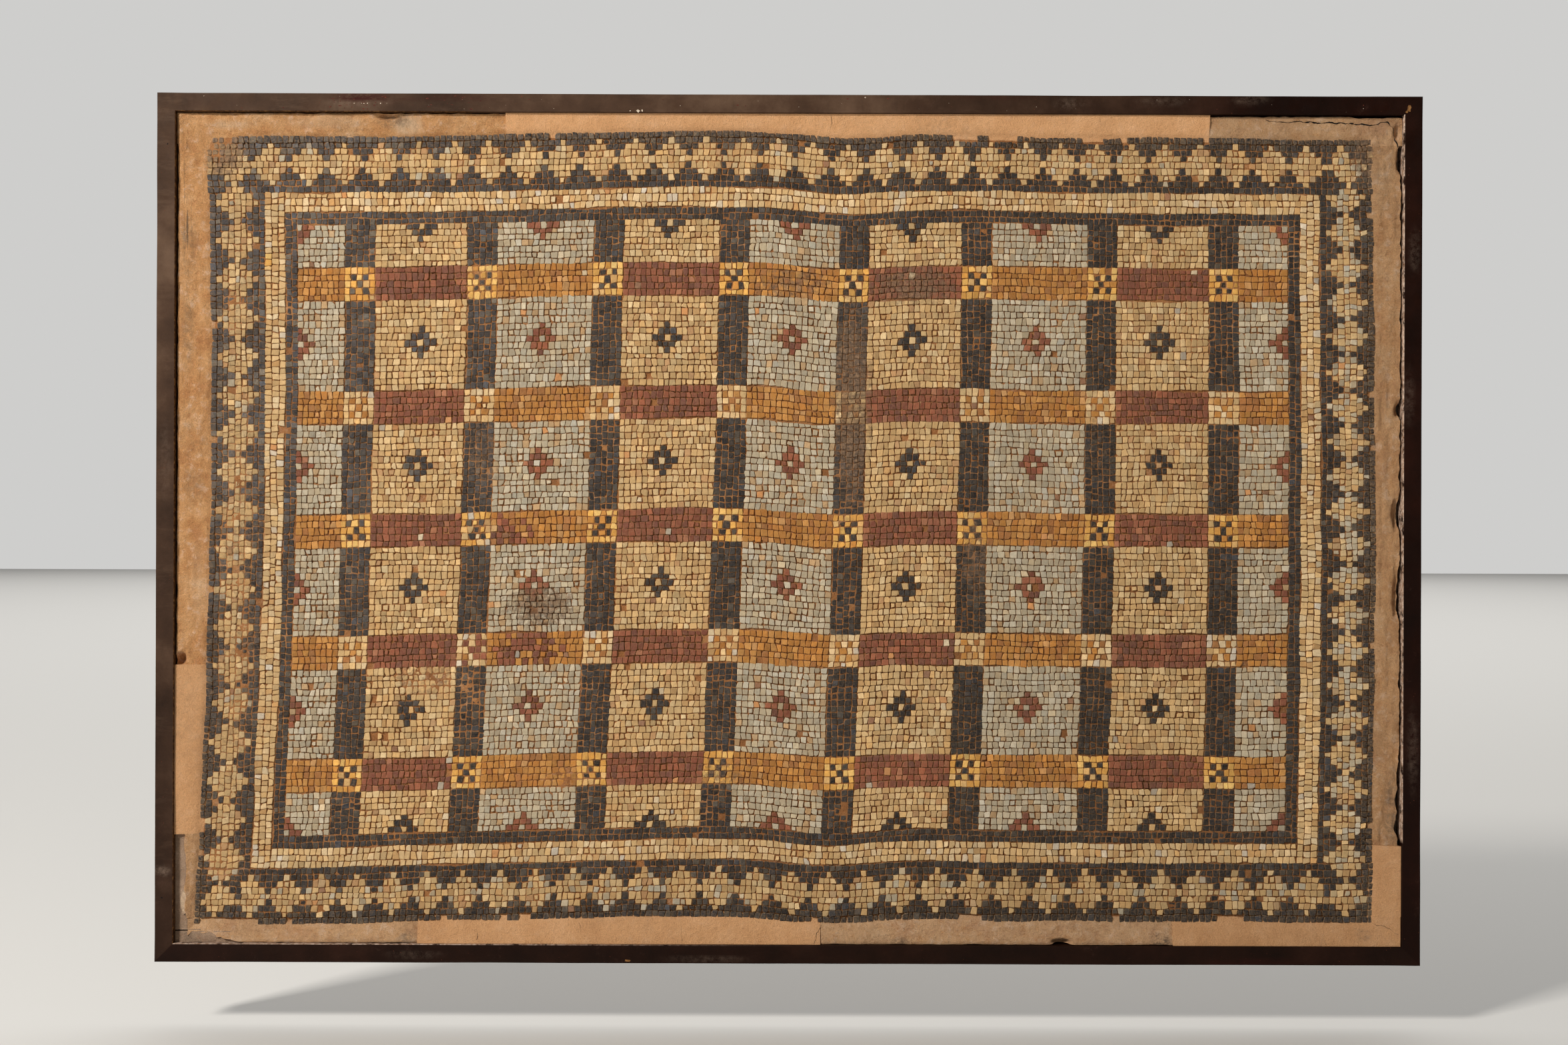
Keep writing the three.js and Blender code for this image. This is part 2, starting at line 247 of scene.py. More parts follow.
area_lamp("key", (-4.2, -4.6, 3.9), (0, 0, 0), 1.2, 510, (1.0, 0.96, 0.90))
area_lamp("floor_light", (0, 15.0, 7.0), (0, 15.0, 0), 28.0, 3000, (1.0, 0.99, 0.97))
stage_floor(-HALF_HEIGHT * MM - 0.1, 30)
studio_world(0.72, 0.15)
bpy.context.scene.view_settings.view_transform = "Standard"
print("lamps:", [lamp.name for lamp in bpy.data.lights])

# %% [markdown]
# ## Helpers that turn arrays into pieces
#
# A mesh is filled fastest from flat arrays of corners and face loops, and editing tools or modifiers
# would be slow on thousands of stones. One helper fills a mesh with any mix of faces, another stores
# numbers for a material, and the last closes a height field into a solid body.

# %% Arrays to meshes
def new_piece(name, vertices, faces, material, node_names, smooth=False):
    """Makes a mesh object from vertices in mm and a list of face arrays, each (count, sides)."""
    faces = [np.asarray(f, dtype=np.int32) for f in faces]
    sides = np.concatenate([np.full(len(f), f.shape[1], dtype=np.int32) for f in faces])
    loops = np.concatenate([f.ravel() for f in faces])
    mesh = bpy.data.meshes.new(name)
    mesh.vertices.add(len(vertices))
    mesh.vertices.foreach_set("co", (np.asarray(vertices) * MM).astype(np.float32).ravel())
    mesh.loops.add(len(loops))
    mesh.loops.foreach_set("vertex_index", loops)
    mesh.polygons.add(len(sides))
    mesh.polygons.foreach_set("loop_start", np.concatenate([[0], np.cumsum(sides)[:-1]]).astype(np.int32))
    mesh.polygons.foreach_set("use_smooth", np.full(len(sides), smooth))
    mesh.update(calc_edges=True)
    mesh.validate()
    mesh.materials.append(material)
    piece = bpy.data.objects.new(name, mesh)
    bpy.context.scene.collection.objects.link(piece)
    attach(piece, "root")
    if node_names:
        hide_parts(*node_names)
    triangles = int((sides - 2).sum())
    print(f"{name}: {triangles} triangles")
    return piece


def store(piece, attribute, values):
    """Stores one number or one colour for each vertex, for the material to read."""
    values = np.asarray(values, dtype=np.float32)
    if values.ndim == 1:
        layer = piece.data.attributes.new(attribute, "FLOAT", "POINT")
        layer.data.foreach_set("value", values)
    else:
        layer = piece.data.attributes.new(attribute, "FLOAT_COLOR", "POINT")
        rgba = np.column_stack([values, np.ones(len(values), dtype=np.float32)])
        layer.data.foreach_set("color", rgba.ravel())


def slab_of(x, z, front, back):
    """Closes a grid of points at heights `front` into a body: the grid faces the viewer, walls run
    back from a copy of its rim to the height `back`, and one flat face closes it there. The rim is
    doubled so that smooth shading stays on the front. A grid whose rows and columns turn the wrong
    way, by the sign of a cross product, is mirrored first."""
    a = np.array([x[0, -1] - x[0, 0], z[0, -1] - z[0, 0]])
    b = np.array([x[-1, 0] - x[0, 0], z[-1, 0] - z[0, 0]])
    if a[0] * b[1] - a[1] * b[0] < 0:
        x, z, front = x[:, ::-1], z[:, ::-1], front[:, ::-1]
    rows, columns = x.shape
    index = np.arange(rows * columns).reshape(rows, columns)
    grid = np.stack([index[:-1, :-1], index[:-1, 1:], index[1:, 1:], index[1:, :-1]], -1).reshape(-1, 4)
    rim = np.concatenate([index[0, :-1], index[:-1, -1], index[-1, :0:-1], index[:0:-1, 0]])
    brink = rows * columns + np.arange(len(rim))
    behind = brink + len(rim)
    walls = np.column_stack([brink, behind, np.roll(behind, -1), np.roll(brink, -1)])
    top = np.column_stack([x.ravel(), -front.ravel(), z.ravel()])
    low = np.column_stack([top[rim, 0], np.full(len(rim), -back), top[rim, 2]])
    return np.vstack([top, top[rim], low]), [grid, walls, behind[::-1][None, :]]


# %% [markdown]
# ## Materials
#
# Stone, mortar, cement and paint all get the same recipe in nodes: a base tone, slow and fine noise
# over it, dirt where an attribute asks for it, and a bump that follows the grain. Images could do it
# too, but they would blur close by, and noise stays sharp. Noise is read in object coordinates, which
# are metres here, so a scale of 400 gives grains of about 2.5 mm.


# %% Node helpers
def to_linear(red, green, blue):
    """A colour as seen on a screen, 0 to 255, made linear: ((c + 0.055) / 1.055) ^ 2.4."""
    c = np.array([red, green, blue]) / 255
    return np.where(c <= 0.04045, c / 12.92, ((c + 0.055) / 1.055) ** 2.4)


class Recipe:
    """A material's node tree with short names for the few nodes that every finish here needs."""

    def __init__(self, name):
        self.material = bpy.data.materials.new(name)
        self.material.use_nodes = True
        self.nodes = self.material.node_tree.nodes
        self.links = self.material.node_tree.links
        self.shader = self.nodes["Principled BSDF"]
        self.place = self.nodes.new("ShaderNodeTexCoord").outputs["Object"]

    def plug(self, socket, value):
        """Links a socket to an output, or sets it to a number or a colour."""
        if isinstance(value, bpy.types.NodeSocket):
            self.links.new(value, socket)
        elif np.ndim(value) == 0:
            socket.default_value = value
        else:
            socket.default_value = (*value, 1)[: len(socket.default_value)]

    def noise(self, scale, detail=3.0, roughness=0.55, stretch=None, own=None):
        """Fractal noise, stretched where the stretch is below 1; `own` gives each stone its own."""
        node = self.nodes.new("ShaderNodeTexNoise")
        if own is not None:
            node.noise_dimensions = "4D"
            self.links.new(own, node.inputs["W"])
        node.inputs["Scale"].default_value = scale
        node.inputs["Detail"].default_value = detail
        node.inputs["Roughness"].default_value = roughness
        place = self.place
        if stretch:
            mapping = self.nodes.new("ShaderNodeMapping")
            mapping.inputs["Scale"].default_value = stretch
            self.links.new(place, mapping.inputs["Vector"])
            place = mapping.outputs["Vector"]
        self.links.new(place, node.inputs["Vector"])
        return node.outputs["Fac"]

    def cells(self, scale):
        """Distance to the nearest of many scattered points: low in small round spots."""
        node = self.nodes.new("ShaderNodeTexVoronoi")
        node.inputs["Scale"].default_value = scale
        self.links.new(self.place, node.inputs["Vector"])
        return node.outputs["Distance"]

    def grey(self, value):
        """The same value for red, green and blue."""
        node = self.nodes.new("ShaderNodeCombineColor")
        for socket in node.inputs[:3]:
            self.plug(socket, value)
        return node.outputs["Color"]

    def remap(self, value, low, high, to_low=0.0, to_high=1.0):
        """Carries the range from low to high onto another one, and stops at its ends."""
        node = self.nodes.new("ShaderNodeMapRange")
        node.inputs["From Min"].default_value = low
        node.inputs["From Max"].default_value = high
        node.inputs["To Min"].default_value = to_low
        node.inputs["To Max"].default_value = to_high
        self.plug(node.inputs["Value"], value)
        return node.outputs["Result"]

    def maths(self, operation, first, second):
        """One sum, difference or product of two values."""
        node = self.nodes.new("ShaderNodeMath")
        node.operation = operation
        self.plug(node.inputs[0], first)
        self.plug(node.inputs[1], second)
        return node.outputs["Value"]

    def mix(self, share, first, second, blend="MIX"):
        """Two colours blended: first (1 - share) + second share, unless another blend is named."""
        node = self.nodes.new("ShaderNodeMix")
        node.data_type = "RGBA"
        node.blend_type = blend
        node.clamp_factor = True
        self.plug(node.inputs[0], share)
        self.plug(node.inputs[6], first)
        self.plug(node.inputs[7], second)
        return node.outputs[2]

    def ramp(self, value, *stops):
        """Colours along a value: each stop is (position, red, green, blue) on the screen scale."""
        node = self.nodes.new("ShaderNodeValToRGB")
        marks = node.color_ramp.elements
        while len(marks) < len(stops):
            marks.new(0.5)
        for mark, (position, *colour) in zip(marks, stops):
            mark.position = position
            mark.color = (*to_linear(*colour), 1)
        self.plug(node.inputs["Fac"], value)
        return node.outputs["Color"]

    def attribute(self, name, output="Fac"):
        """A number or a colour that was stored on the piece's vertices."""
        node = self.nodes.new("ShaderNodeAttribute")
        node.attribute_name = name
        return node.outputs[output]

    def bump(self, height, distance, strength=1.0, under=None):
        """A normal bent by a height of at most `distance` mm, laid over another bump if given."""
        node = self.nodes.new("ShaderNodeBump")
        node.inputs["Distance"].default_value = distance * MM
        node.inputs["Strength"].default_value = strength
        self.plug(node.inputs["Height"], height)
        if under is not None:
            self.links.new(under, node.inputs["Normal"])
        return node.outputs["Normal"]

    def finish(self, colour, roughness, normal, specular=0.35):
        """Plugs everything into the shader and hands back the material."""
        self.plug(self.shader.inputs["Base Color"], colour)
        self.plug(self.shader.inputs["Roughness"], roughness)
        self.links.new(normal, self.shader.inputs["Normal"])
        self.shader.inputs["Specular IOR Level"].default_value = specular
        return self.material


# %% [markdown]
# ### Stone
#
# The stones look like split limestone: a little cloudy, finely pitted, and dulled by lime dust that
# gathers on their rims. A material for each colour would make them all alike. Here every stone
# carries its own tone as an attribute, and three materials add what black, pale and warm stones share.

# %% Stone
DUST = to_linear(188, 150, 108)
PIT = to_linear(96, 66, 44)


def stone_finish(name, mottle, pitting, shine, veil):
    """Cut stone: each stone's tone is an attribute, mottled by clouds and grain that start anew on
    each stone, darkened by pits, veiled with lime dust, and soiled where the soil attribute says."""
    recipe = Recipe(name)
    own = recipe.maths("MULTIPLY", recipe.attribute("own"), 40)
    clouds = recipe.noise(170, 4, 0.65, own=own)
    grain = recipe.noise(900, 3, 0.7, own=own)
    shade = recipe.maths(
        "MULTIPLY",
        recipe.remap(clouds, 0.3, 0.7, 1 - mottle, 1 + mottle),
        recipe.remap(grain, 0.3, 0.7, 1 - mottle, 1 + mottle),
    )
    colour = recipe.mix(1.0, recipe.attribute("stone_tone", "Color"), recipe.grey(shade), "MULTIPLY")
    dust = recipe.remap(recipe.noise(330, 4, 0.7, own=own), 0.42, 0.72)
    dust = recipe.maths("MULTIPLY", dust, recipe.maths("ADD", recipe.attribute("haze"), veil))
    colour = recipe.mix(dust, colour, DUST)
    pits = recipe.remap(recipe.cells(650), 0.06, 0.24, pitting, 0.0)
    pits = recipe.maths("MULTIPLY", pits, recipe.remap(clouds, 0.45, 0.6))
    colour = recipe.mix(pits, colour, PIT)
    rim = recipe.maths("MULTIPLY", recipe.attribute("edge"), recipe.remap(recipe.noise(420), 0.35, 0.65))
    colour = recipe.mix(recipe.maths("MULTIPLY", rim, 0.5), colour, DUST)
    soil = recipe.attribute("soil")
    spread = recipe.remap(recipe.noise(110, 6, 0.75), 0.62, 0.38, 0.0, 1.0)
    soil = recipe.remap(recipe.maths("SUBTRACT", soil, recipe.maths("MULTIPLY", spread, 0.6)), 0.0, 0.5)
    grime = recipe.ramp(recipe.noise(210, 4, 0.7), (0.35, 74, 58, 46), (0.65, 156, 122, 90))
    colour = recipe.mix(recipe.maths("MULTIPLY", soil, 0.85), colour, grime)
    roughness = recipe.remap(grain, 0.3, 0.7, shine, shine + 0.25)
    fine = recipe.bump(recipe.noise(1100, 3, 0.75), 0.45, 0.9)
    dents = recipe.bump(pits, -0.6, 0.9, fine)
    normal = recipe.bump(clouds, 1.2, 0.9, dents)
    return recipe.finish(colour, roughness, normal)


STONE = {
    "black": stone_finish("black_limestone", 0.42, 0.5, 0.44, 0.16),
    "light": stone_finish("pale_limestone", 0.12, 0.75, 0.60, 0.30),
    "warm": stone_finish("red_and_ochre_stone", 0.16, 0.7, 0.58, 0.24),
}
print("stone finishes:", [material.name for material in STONE.values()])


# %% [markdown]
# ### Mortar and cement
#
# Lime mortar is sand in a pale binder. The old one is warm and gritty, the repairs are smoother and
# pinker, the joints darker, and cement is greyer. Five separate materials would drift apart, so one
# function with different tones and grit makes them all. Stains, limewash and scratches belong to
# named places, so they are asked for by attributes.

# %% Mortar and cement
def mortar_finish(name, stops, grit, bump, specks=0.5, patchy=0.4):
    """Lime mortar: tones over slow noise, sand grains, pale and dark specks. Attributes add grey stains,
    pale limewash and thin dark scratches that run up and down, and shade, which is painted light and
    shade set for each piece, makes it lighter or darker."""
    recipe = Recipe(name)
    slow = recipe.noise(22, 7, 0.66)
    colour = recipe.ramp(slow, *stops)
    middle = recipe.noise(75, 6, 0.72)
    light_patches = recipe.remap(middle, 0.53, 0.66, 0.0, 0.6 * patchy)
    colour = recipe.mix(light_patches, colour, to_linear(236, 200, 170))
    dark_patches = recipe.remap(middle, 0.46, 0.34, 0.0, 0.6 * patchy)
    colour = recipe.mix(dark_patches, colour, to_linear(176, 118, 74))
    sand = recipe.remap(recipe.noise(800, 4, 0.75), 0.3, 0.7, 1 - grit, 1 + grit)
    # The shade attribute is painted light and shade, set for each piece.
    sand = recipe.maths("MULTIPLY", sand, recipe.attribute("shade"))
    colour = recipe.mix(1.0, colour, recipe.grey(sand), "MULTIPLY")
    pale = recipe.remap(recipe.cells(240), 0.03, 0.09, specks, 0.0)
    pale = recipe.maths("MULTIPLY", pale, recipe.remap(recipe.noise(60), 0.55, 0.6))
    colour = recipe.mix(pale, colour, to_linear(232, 214, 190))
    dark = recipe.remap(recipe.cells(330), 0.04, 0.12, specks, 0.0)
    dark = recipe.maths("MULTIPLY", dark, recipe.remap(recipe.noise(90), 0.58, 0.62))
    colour = recipe.mix(dark, colour, to_linear(90, 62, 42))
    cloud = recipe.noise(95, 6, 0.8)
    wash = recipe.maths("MULTIPLY", recipe.attribute("pale"), recipe.remap(cloud, 0.3, 0.5))
    colour = recipe.mix(recipe.maths("MULTIPLY", wash, 0.7), colour, to_linear(236, 206, 172))
    stain = recipe.maths("MULTIPLY", recipe.attribute("stain"), recipe.remap(cloud, 0.62, 0.42))
    colour = recipe.mix(recipe.maths("MULTIPLY", stain, 0.85), colour, to_linear(112, 98, 84))
    strokes = recipe.remap(recipe.noise(330, 3, 0.6, (1, 1, 0.03)), 0.54, 0.60)
    strokes = recipe.maths("MULTIPLY", recipe.attribute("stroke"), strokes)
    colour = recipe.mix(recipe.maths("MULTIPLY", strokes, 0.75), colour, to_linear(96, 84, 72))
    fine = recipe.bump(recipe.noise(560, 4, 0.8), 1.7 * bump, 1.0)
    holes = recipe.remap(recipe.cells(260), 0.05, 0.22, 1.0, 0.0)
    holes = recipe.maths("MULTIPLY", holes, recipe.remap(recipe.noise(120), 0.50, 0.56))
    pitted = recipe.bump(holes, -0.7 * bump, 1.0, fine)
    normal = recipe.bump(recipe.noise(150, 6, 0.7), 2.2 * bump, 1.0, pitted)
    return recipe.finish(colour, recipe.remap(slow, 0.3, 0.7, 0.82, 0.98), normal, 0.2)


old_tones = [(0.30, 190, 131, 84), (0.45, 206, 151, 99), (0.58, 216, 164, 113), (0.74, 226, 182, 138)]
new_tones = [(0.30, 203, 152, 106), (0.50, 213, 162, 115), (0.70, 220, 171, 126)]
joint_tones = [(0.30, 134, 88, 52), (0.50, 170, 115, 70), (0.70, 192, 138, 90)]
bared_tones = [(0.30, 142, 118, 98), (0.50, 170, 142, 118), (0.70, 190, 162, 138)]
cement_tones = [(0.30, 112, 98, 84), (0.50, 134, 118, 102), (0.70, 156, 138, 120)]
old_mortar = mortar_finish("old_lime_mortar", old_tones, 0.26, 1.5, specks=0.6, patchy=1.0)
new_mortar = mortar_finish("repair_mortar", new_tones, 0.20, 0.9, specks=0.4, patchy=0.2)
joint_mortar = mortar_finish("joint_mortar", joint_tones, 0.25, 1.0)
bared_cement = mortar_finish("bared_cement", bared_tones, 0.24, 1.0)
cement = mortar_finish("grey_cement", cement_tones, 0.20, 1.0)
print("mortars:", [m.name for m in (old_mortar, new_mortar, joint_mortar, bared_cement, cement)])


# %% [markdown]
# ### Painted steel
#
# The bars are painted dark brown, greyed toward the upper left by dust and by a painted sheen on the
# side of the lamp, with lime and rust clinging to their inner walls. Worn paint could be modelled in
# layers, but it is thinner than any mesh should be, so colour, gloss and a faint bump show it. Only
# scabs, chips and pin holes get shapes, later on.

# %% Painted steel
def steel_finish():
    """Dark brown paint on steel, streaked along and across by stretched noise, with small rust pits.
    Five attributes say where it is greyed by dust and painted sheen, limed, rusty, stained maroon or
    scuffed."""
    recipe = Recipe("painted_steel")
    slow = recipe.noise(9, 6, 0.65)
    clean = recipe.ramp(slow, (0.32, 18, 5, 1), (0.52, 27, 8, 2), (0.72, 40, 16, 7))
    dust_and_sheen = recipe.ramp(slow, (0.32, 56, 39, 28), (0.52, 76, 55, 41), (0.72, 102, 79, 62))
    # The lighter, greyer paint stands for dust and also for painted sheen, light glancing off the bars near
    # the lamp.
    colour = recipe.mix(recipe.attribute("dust_and_sheen"), clean, dust_and_sheen)
    streaks = recipe.remap(recipe.noise(40, 5, 0.75, (0.2, 1, 1)), 0.56, 0.76, 0.0, 0.4)
    streaks = recipe.maths("MULTIPLY", streaks, recipe.attribute("dust_and_sheen"))
    colour = recipe.mix(streaks, colour, to_linear(112, 88, 70))
    smudge = recipe.remap(recipe.noise(16, 6, 0.8), 0.60, 0.72, 0.0, 0.35)
    colour = recipe.mix(smudge, colour, to_linear(84, 60, 50))
    drops = recipe.noise(60, 4, 0.7, (1, 1, 0.12))
    colour = recipe.mix(recipe.remap(drops, 0.60, 0.75, 0.0, 0.30), colour, to_linear(22, 14, 10))
    pits = recipe.remap(recipe.cells(150), 0.03, 0.09, 1.0, 0.0)
    pits = recipe.maths("MULTIPLY", pits, recipe.remap(recipe.noise(30), 0.54, 0.60))
    colour = recipe.mix(pits, colour, to_linear(118, 62, 40))
    lime = recipe.remap(recipe.noise(70, 4, 0.7), 0.36, 0.5)
    lime = recipe.maths("MULTIPLY", recipe.attribute("lime"), lime)
    residue = recipe.ramp(recipe.noise(200), (0.35, 150, 116, 92), (0.65, 214, 190, 172))
    colour = recipe.mix(lime, colour, residue)
    crust = recipe.noise(170, 5, 0.75)
    crust = recipe.ramp(crust, (0.38, 38, 20, 11), (0.52, 84, 54, 28), (0.68, 138, 100, 56))
    colour = recipe.mix(recipe.attribute("rusty"), colour, crust)
    scuffed = recipe.remap(recipe.noise(110, 6, 0.8), 0.40, 0.66, 0.0, 0.55)
    scuffed = recipe.maths("MULTIPLY", recipe.attribute("scuffed"), scuffed)
    colour = recipe.mix(scuffed, colour, to_linear(146, 124, 108))
    maroon = recipe.remap(recipe.noise(75, 6, 0.78, (0.4, 1, 1)), 0.36, 0.50)
    maroon = recipe.maths("MULTIPLY", recipe.attribute("maroon"), maroon)
    colour = recipe.mix(maroon, colour, to_linear(58, 20, 14))
    gloss = recipe.remap(recipe.noise(45, 4), 0.3, 0.7, 0.46, 0.70)
    fine = recipe.bump(recipe.noise(420, 4, 0.7), 0.3, 0.5)
    dents = recipe.bump(pits, -0.5, 0.7, fine)
    normal = recipe.bump(recipe.noise(24, 4, 0.6), 1.5, 0.35, dents)
    return recipe.finish(colour, gloss, normal, 0.11)


painted_steel = steel_finish()


def speck_finish(name, first, second):
    """Small marks on the steel, such as rust, old paint or filler: two tones over fine noise, matt."""
    recipe = Recipe(name)
    colour = recipe.ramp(recipe.noise(260, 5, 0.75), (0.38, *first), (0.62, *second))
    normal = recipe.bump(recipe.noise(700, 4, 0.75), 0.5, 0.8)
    return recipe.finish(colour, recipe.remap(recipe.noise(300), 0.3, 0.7, 0.7, 0.95), normal, 0.25)


rust = speck_finish("rust_flakes", (58, 22, 18), (112, 56, 40))
bare_paint = speck_finish("old_paint_flakes", (170, 150, 128), (222, 206, 186))
tan_filler = speck_finish("tan_filler", (108, 72, 38), (158, 112, 64))
# Near-black marks: painted shade for the inside of pin holes and cracks.
painted_hollow_shade = speck_finish("painted_hole_shade", (8, 6, 5), (18, 13, 10))
print("marks on the steel:", [m.name for m in (rust, bare_paint, tan_filler, painted_hollow_shade)])

# %% [markdown]
# ## Where time has been
#
# Stones are worn, soiled and lost in places, and none of that is put right. Such places could be
# painted by hand, but a painting says nothing to the mesh. Here each is one soft oval: a centre, two
# radii and a strength. They make two maps, wear and soil, that every later step can ask.

# %% Wear and soil maps
WORN = [
    ((-862, 574), (30, 24), 0.9), ((-548, -229), (56, 24), 0.55), ((-845, -500), (34, 40), 0.3),
    ((-838, 330), (24, 60), 0.35), ((-330, -380), (60, 22), 0.35), ((-830, -100), (30, 260), 0.35),
    ((-470, 372), (30, 30), 0.5), ((600, 300), (40, 40), 0.2), ((-478, -240), (20, 34), 0.35),
]
SOILED = [
    ((96, 190), (30, 168), 0.85), ((186, 369), (72, 30), 0.75), ((-373, -118), (56, 36), 0.8),
    ((4, 369), (66, 26), 0.55), ((-548, -229), (60, 30), 0.4), ((-858, 565), (44, 40), 0.9),
    ((-460, 110), (26, 70), 0.45), ((872, 560), (30, 40), 0.7), ((-100, -370), (50, 24), 0.5),
    ((-835, 0), (60, 620), 0.30), ((-690, 0), (60, 560), 0.16), ((830, 0), (60, 620), 0.12),
    ((280, -40), (24, 60), 0.5), ((460, 130), (26, 50), 0.3),
]
print(len(WORN), "worn places and", len(SOILED), "soiled ones")


def place_map(x, z, places):
    """The strongest of all the ovals at each point."""
    strength = np.zeros(np.broadcast(x, z).shape)
    for centre, radii, depth in places:
        strength = np.maximum(strength, depth * patch(x, z, centre, radii))
    return strength


# %% [markdown]
# ## The pattern
#
# The mason worked in simple counts: a border nine stones deep with stepped triangles tip to tip every
# six stones, a cream line of three, a black line of two, and then the field, where black uprights and
# coloured level bands five stones wide frame cells of pale stones, each with a small flower. Every
# stone could be traced, but those counts are the whole design, so functions of row and column lay it.

# %% Counts and widths
BORDER_ROWS = 9
BORDER_WIDTH = 84.0
CREAM_ROWS = 3
CREAM_WIDTH = 30.0
BLACK_ROWS = 2
BLACK_WIDTH = 18.0
TOOTH_PERIOD = 6
STONE_ALONG = 8.9
STONE_ACROSS = 9.6
UPRIGHT = 45.0
BAND_COUNT = 5
COLUMN_WIDTHS = np.array([70, 136, 144, 144, 135, 141, 144, 140, 75.0])
LEVEL = 49.5
ROW_HEIGHTS = np.array([65, 135, 136, 132, 134, 65.0])
FLOWER_REACH = 2
JOINT = 0.42
TIGHT_JOINT = 0.36

rng = np.random.default_rng(1931)


# %% [markdown]
# ### Rows laid by hand
#
# A mason splits each stone by eye and sets it against the last one, so widths differ, joints wander,
# and small errors add up along a row. A perfect grid with every stone shifted at random would look
# restless. Here slow drift carries whole stretches, and only a little scatter is each stone's own.

# %% Rows of stones laid by hand
def drift(rows, count, window, size):
    """Slow noise along each row: a moving average of random numbers, brought back to the given size
    and held down at both ends, where the mason kept to a line."""
    raw = rng.normal(0, 1, (rows, count + window - 1))
    slow = np.lib.stride_tricks.sliding_window_view(raw, window, axis=1).mean(-1) * np.sqrt(window)
    from_end = np.minimum(np.arange(count), np.arange(count)[::-1])
    return slow * size * np.clip(0.25 + from_end / 3, 0, 1)


def hand_rows(left, right, low, high, columns, rows, joint=JOINT):
    """Corners of stones in level rows, as (rows, columns, 4, 2). Row lines and upright joints are even
    steps plus drift and scatter, each row's own, so that joints do not line up from row to row. Each
    stone then gives up its share of the joint, turns a few degrees, a few are smaller, and each corner
    moves on its own."""
    width = (right - left) / columns
    height = (high - low) / rows
    lines = np.linspace(high, low, rows + 1)[:, None] + drift(rows + 1, columns + 1, 7, 0.09 * height)
    joints = np.linspace(left, right, columns + 1) + drift(rows, columns + 1, 5, 0.13 * width)
    scatter = rng.normal(0, 0.06 * width, joints.shape)
    scatter[:, [0, -1]] *= 0.4
    slant = rng.normal(0, 0.05 * height, joints.shape)
    below, above = joints + scatter - slant, joints + scatter + slant
    corners = np.empty((rows, columns, 4, 2))
    corners[..., 0] = np.stack([below[:, :-1], below[:, 1:], above[:, 1:], above[:, :-1]], -1)
    corners[..., 1] = np.stack([lines[1:, :-1], lines[1:, 1:], lines[:-1, 1:], lines[:-1, :-1]], -1)
    toward = np.array([[1, 1], [-1, 1], [-1, -1], [1, -1]])
    corners = corners + toward * joint * rng.uniform(0.6, 1.5, (rows, columns, 1, 2))
    centre = corners.mean(2, keepdims=True)
    odd_size = rng.random((rows, columns, 1, 1)) < 0.06
    small = np.where(odd_size, rng.uniform(0.72, 0.9, odd_size.shape), 1)
    turn = rng.normal(0, 0.05, (rows, columns, 1))
    arm = (corners - centre) * small
    arm = np.stack([arm[..., 0] - turn * arm[..., 1], arm[..., 1] + turn * arm[..., 0]], -1)
    return centre + arm + rng.normal(0, 0.26, corners.shape)


floor_stones = {}


def set_stones(piece, corners, kinds):
    """Files stones under the piece that they belong to; kind -1 leaves the place empty."""
    corners = corners.reshape(-1, 4, 2)
    kinds = kinds.ravel()
    laid = floor_stones.setdefault(piece, ([], []))
    laid[0].append(corners[kinds >= 0])
    laid[1].append(kinds[kinds >= 0])


def along_side(corners, place):
    """Moves corners given as (along, depth) onto one side of the panel, and keeps them anticlockwise."""
    x, z = place(corners[..., 0], corners[..., 1])
    moved = np.stack([x, z], -1)
    a = moved[..., 1, :] - moved[..., 0, :]
    b = moved[..., 3, :] - moved[..., 0, :]
    if np.median(a[..., 0] * b[..., 1] - a[..., 1] * b[..., 0]) < 0:
        moved = moved[..., ::-1, :]
    return moved


# %% [markdown]
# ### The stones' colours
#
# Stones of one kind come from one bed of rock, so they are alike and never the same. One tone for each
# kind would look printed. So a kind has five tones with their shares, every stone draws one and then
# its own brightness, and in a few named places stones of another kind are mixed in, as on the floor.

# %% Kinds of stone and their tones
KINDS = ["black", "buff", "cream", "grey", "red", "ochre", "yellow"]
BLACK, BUFF, CREAM, GREY, RED, OCHRE, YELLOW = range(len(KINDS))
TONES = {
    BLACK: [(42, 40, 41), (53, 50, 48), (29, 28, 30), (72, 66, 58), (52, 55, 60)],
    BUFF: [(210, 174, 121), (202, 166, 113), (218, 187, 138), (194, 155, 104), (188, 145, 100)],
    CREAM: [(220, 185, 133), (214, 177, 122), (227, 199, 155), (200, 157, 103), (216, 200, 176)],
    GREY: [(189, 176, 149), (177, 163, 137), (197, 185, 161), (184, 152, 112), (198, 164, 122)],
    RED: [(136, 77, 54), (124, 67, 48), (150, 86, 60), (112, 66, 52), (164, 106, 76)],
    OCHRE: [(187, 127, 57), (175, 114, 47), (198, 140, 72), (163, 106, 55), (200, 148, 91)],
    YELLOW: [(230, 174, 88), (236, 190, 110), (214, 154, 70), (224, 180, 116), (206, 140, 62)],
}
TONE_SHARES = {BLACK: [34, 28, 24, 10, 4], BUFF: [36, 28, 20, 12, 4], CREAM: [38, 28, 18, 12, 4],
               GREY: [38, 32, 23, 5, 2], RED: [34, 26, 18, 18, 4], OCHRE: [36, 26, 18, 16, 4],
               YELLOW: [34, 24, 20, 14, 8]}
STRANGE = [(206, 146, 92), (222, 200, 164), (150, 108, 80), (176, 164, 146)]
STRANGE_SHARE = 0.006
MIXED = [((-420, -5), (28, 30), RED, 0.6), ((-392, -185), (58, 26), RED, 0.8),
         ((-460, 0), (30, 30), CREAM, 0.4), ((-470, -185), (30, 30), RED, 0.3),
         ((870, 0), (60, 700), GREY, 0.38), ((-300, -560), (200, 50), GREY, 0.12),
         ((-845, 540), (70, 60), BUFF, 0.5), ((-790, 400), (20, 20), YELLOW, 0.2)]
print(len(KINDS), "kinds of stone in", sum(len(palette) for palette in TONES.values()), "tones")


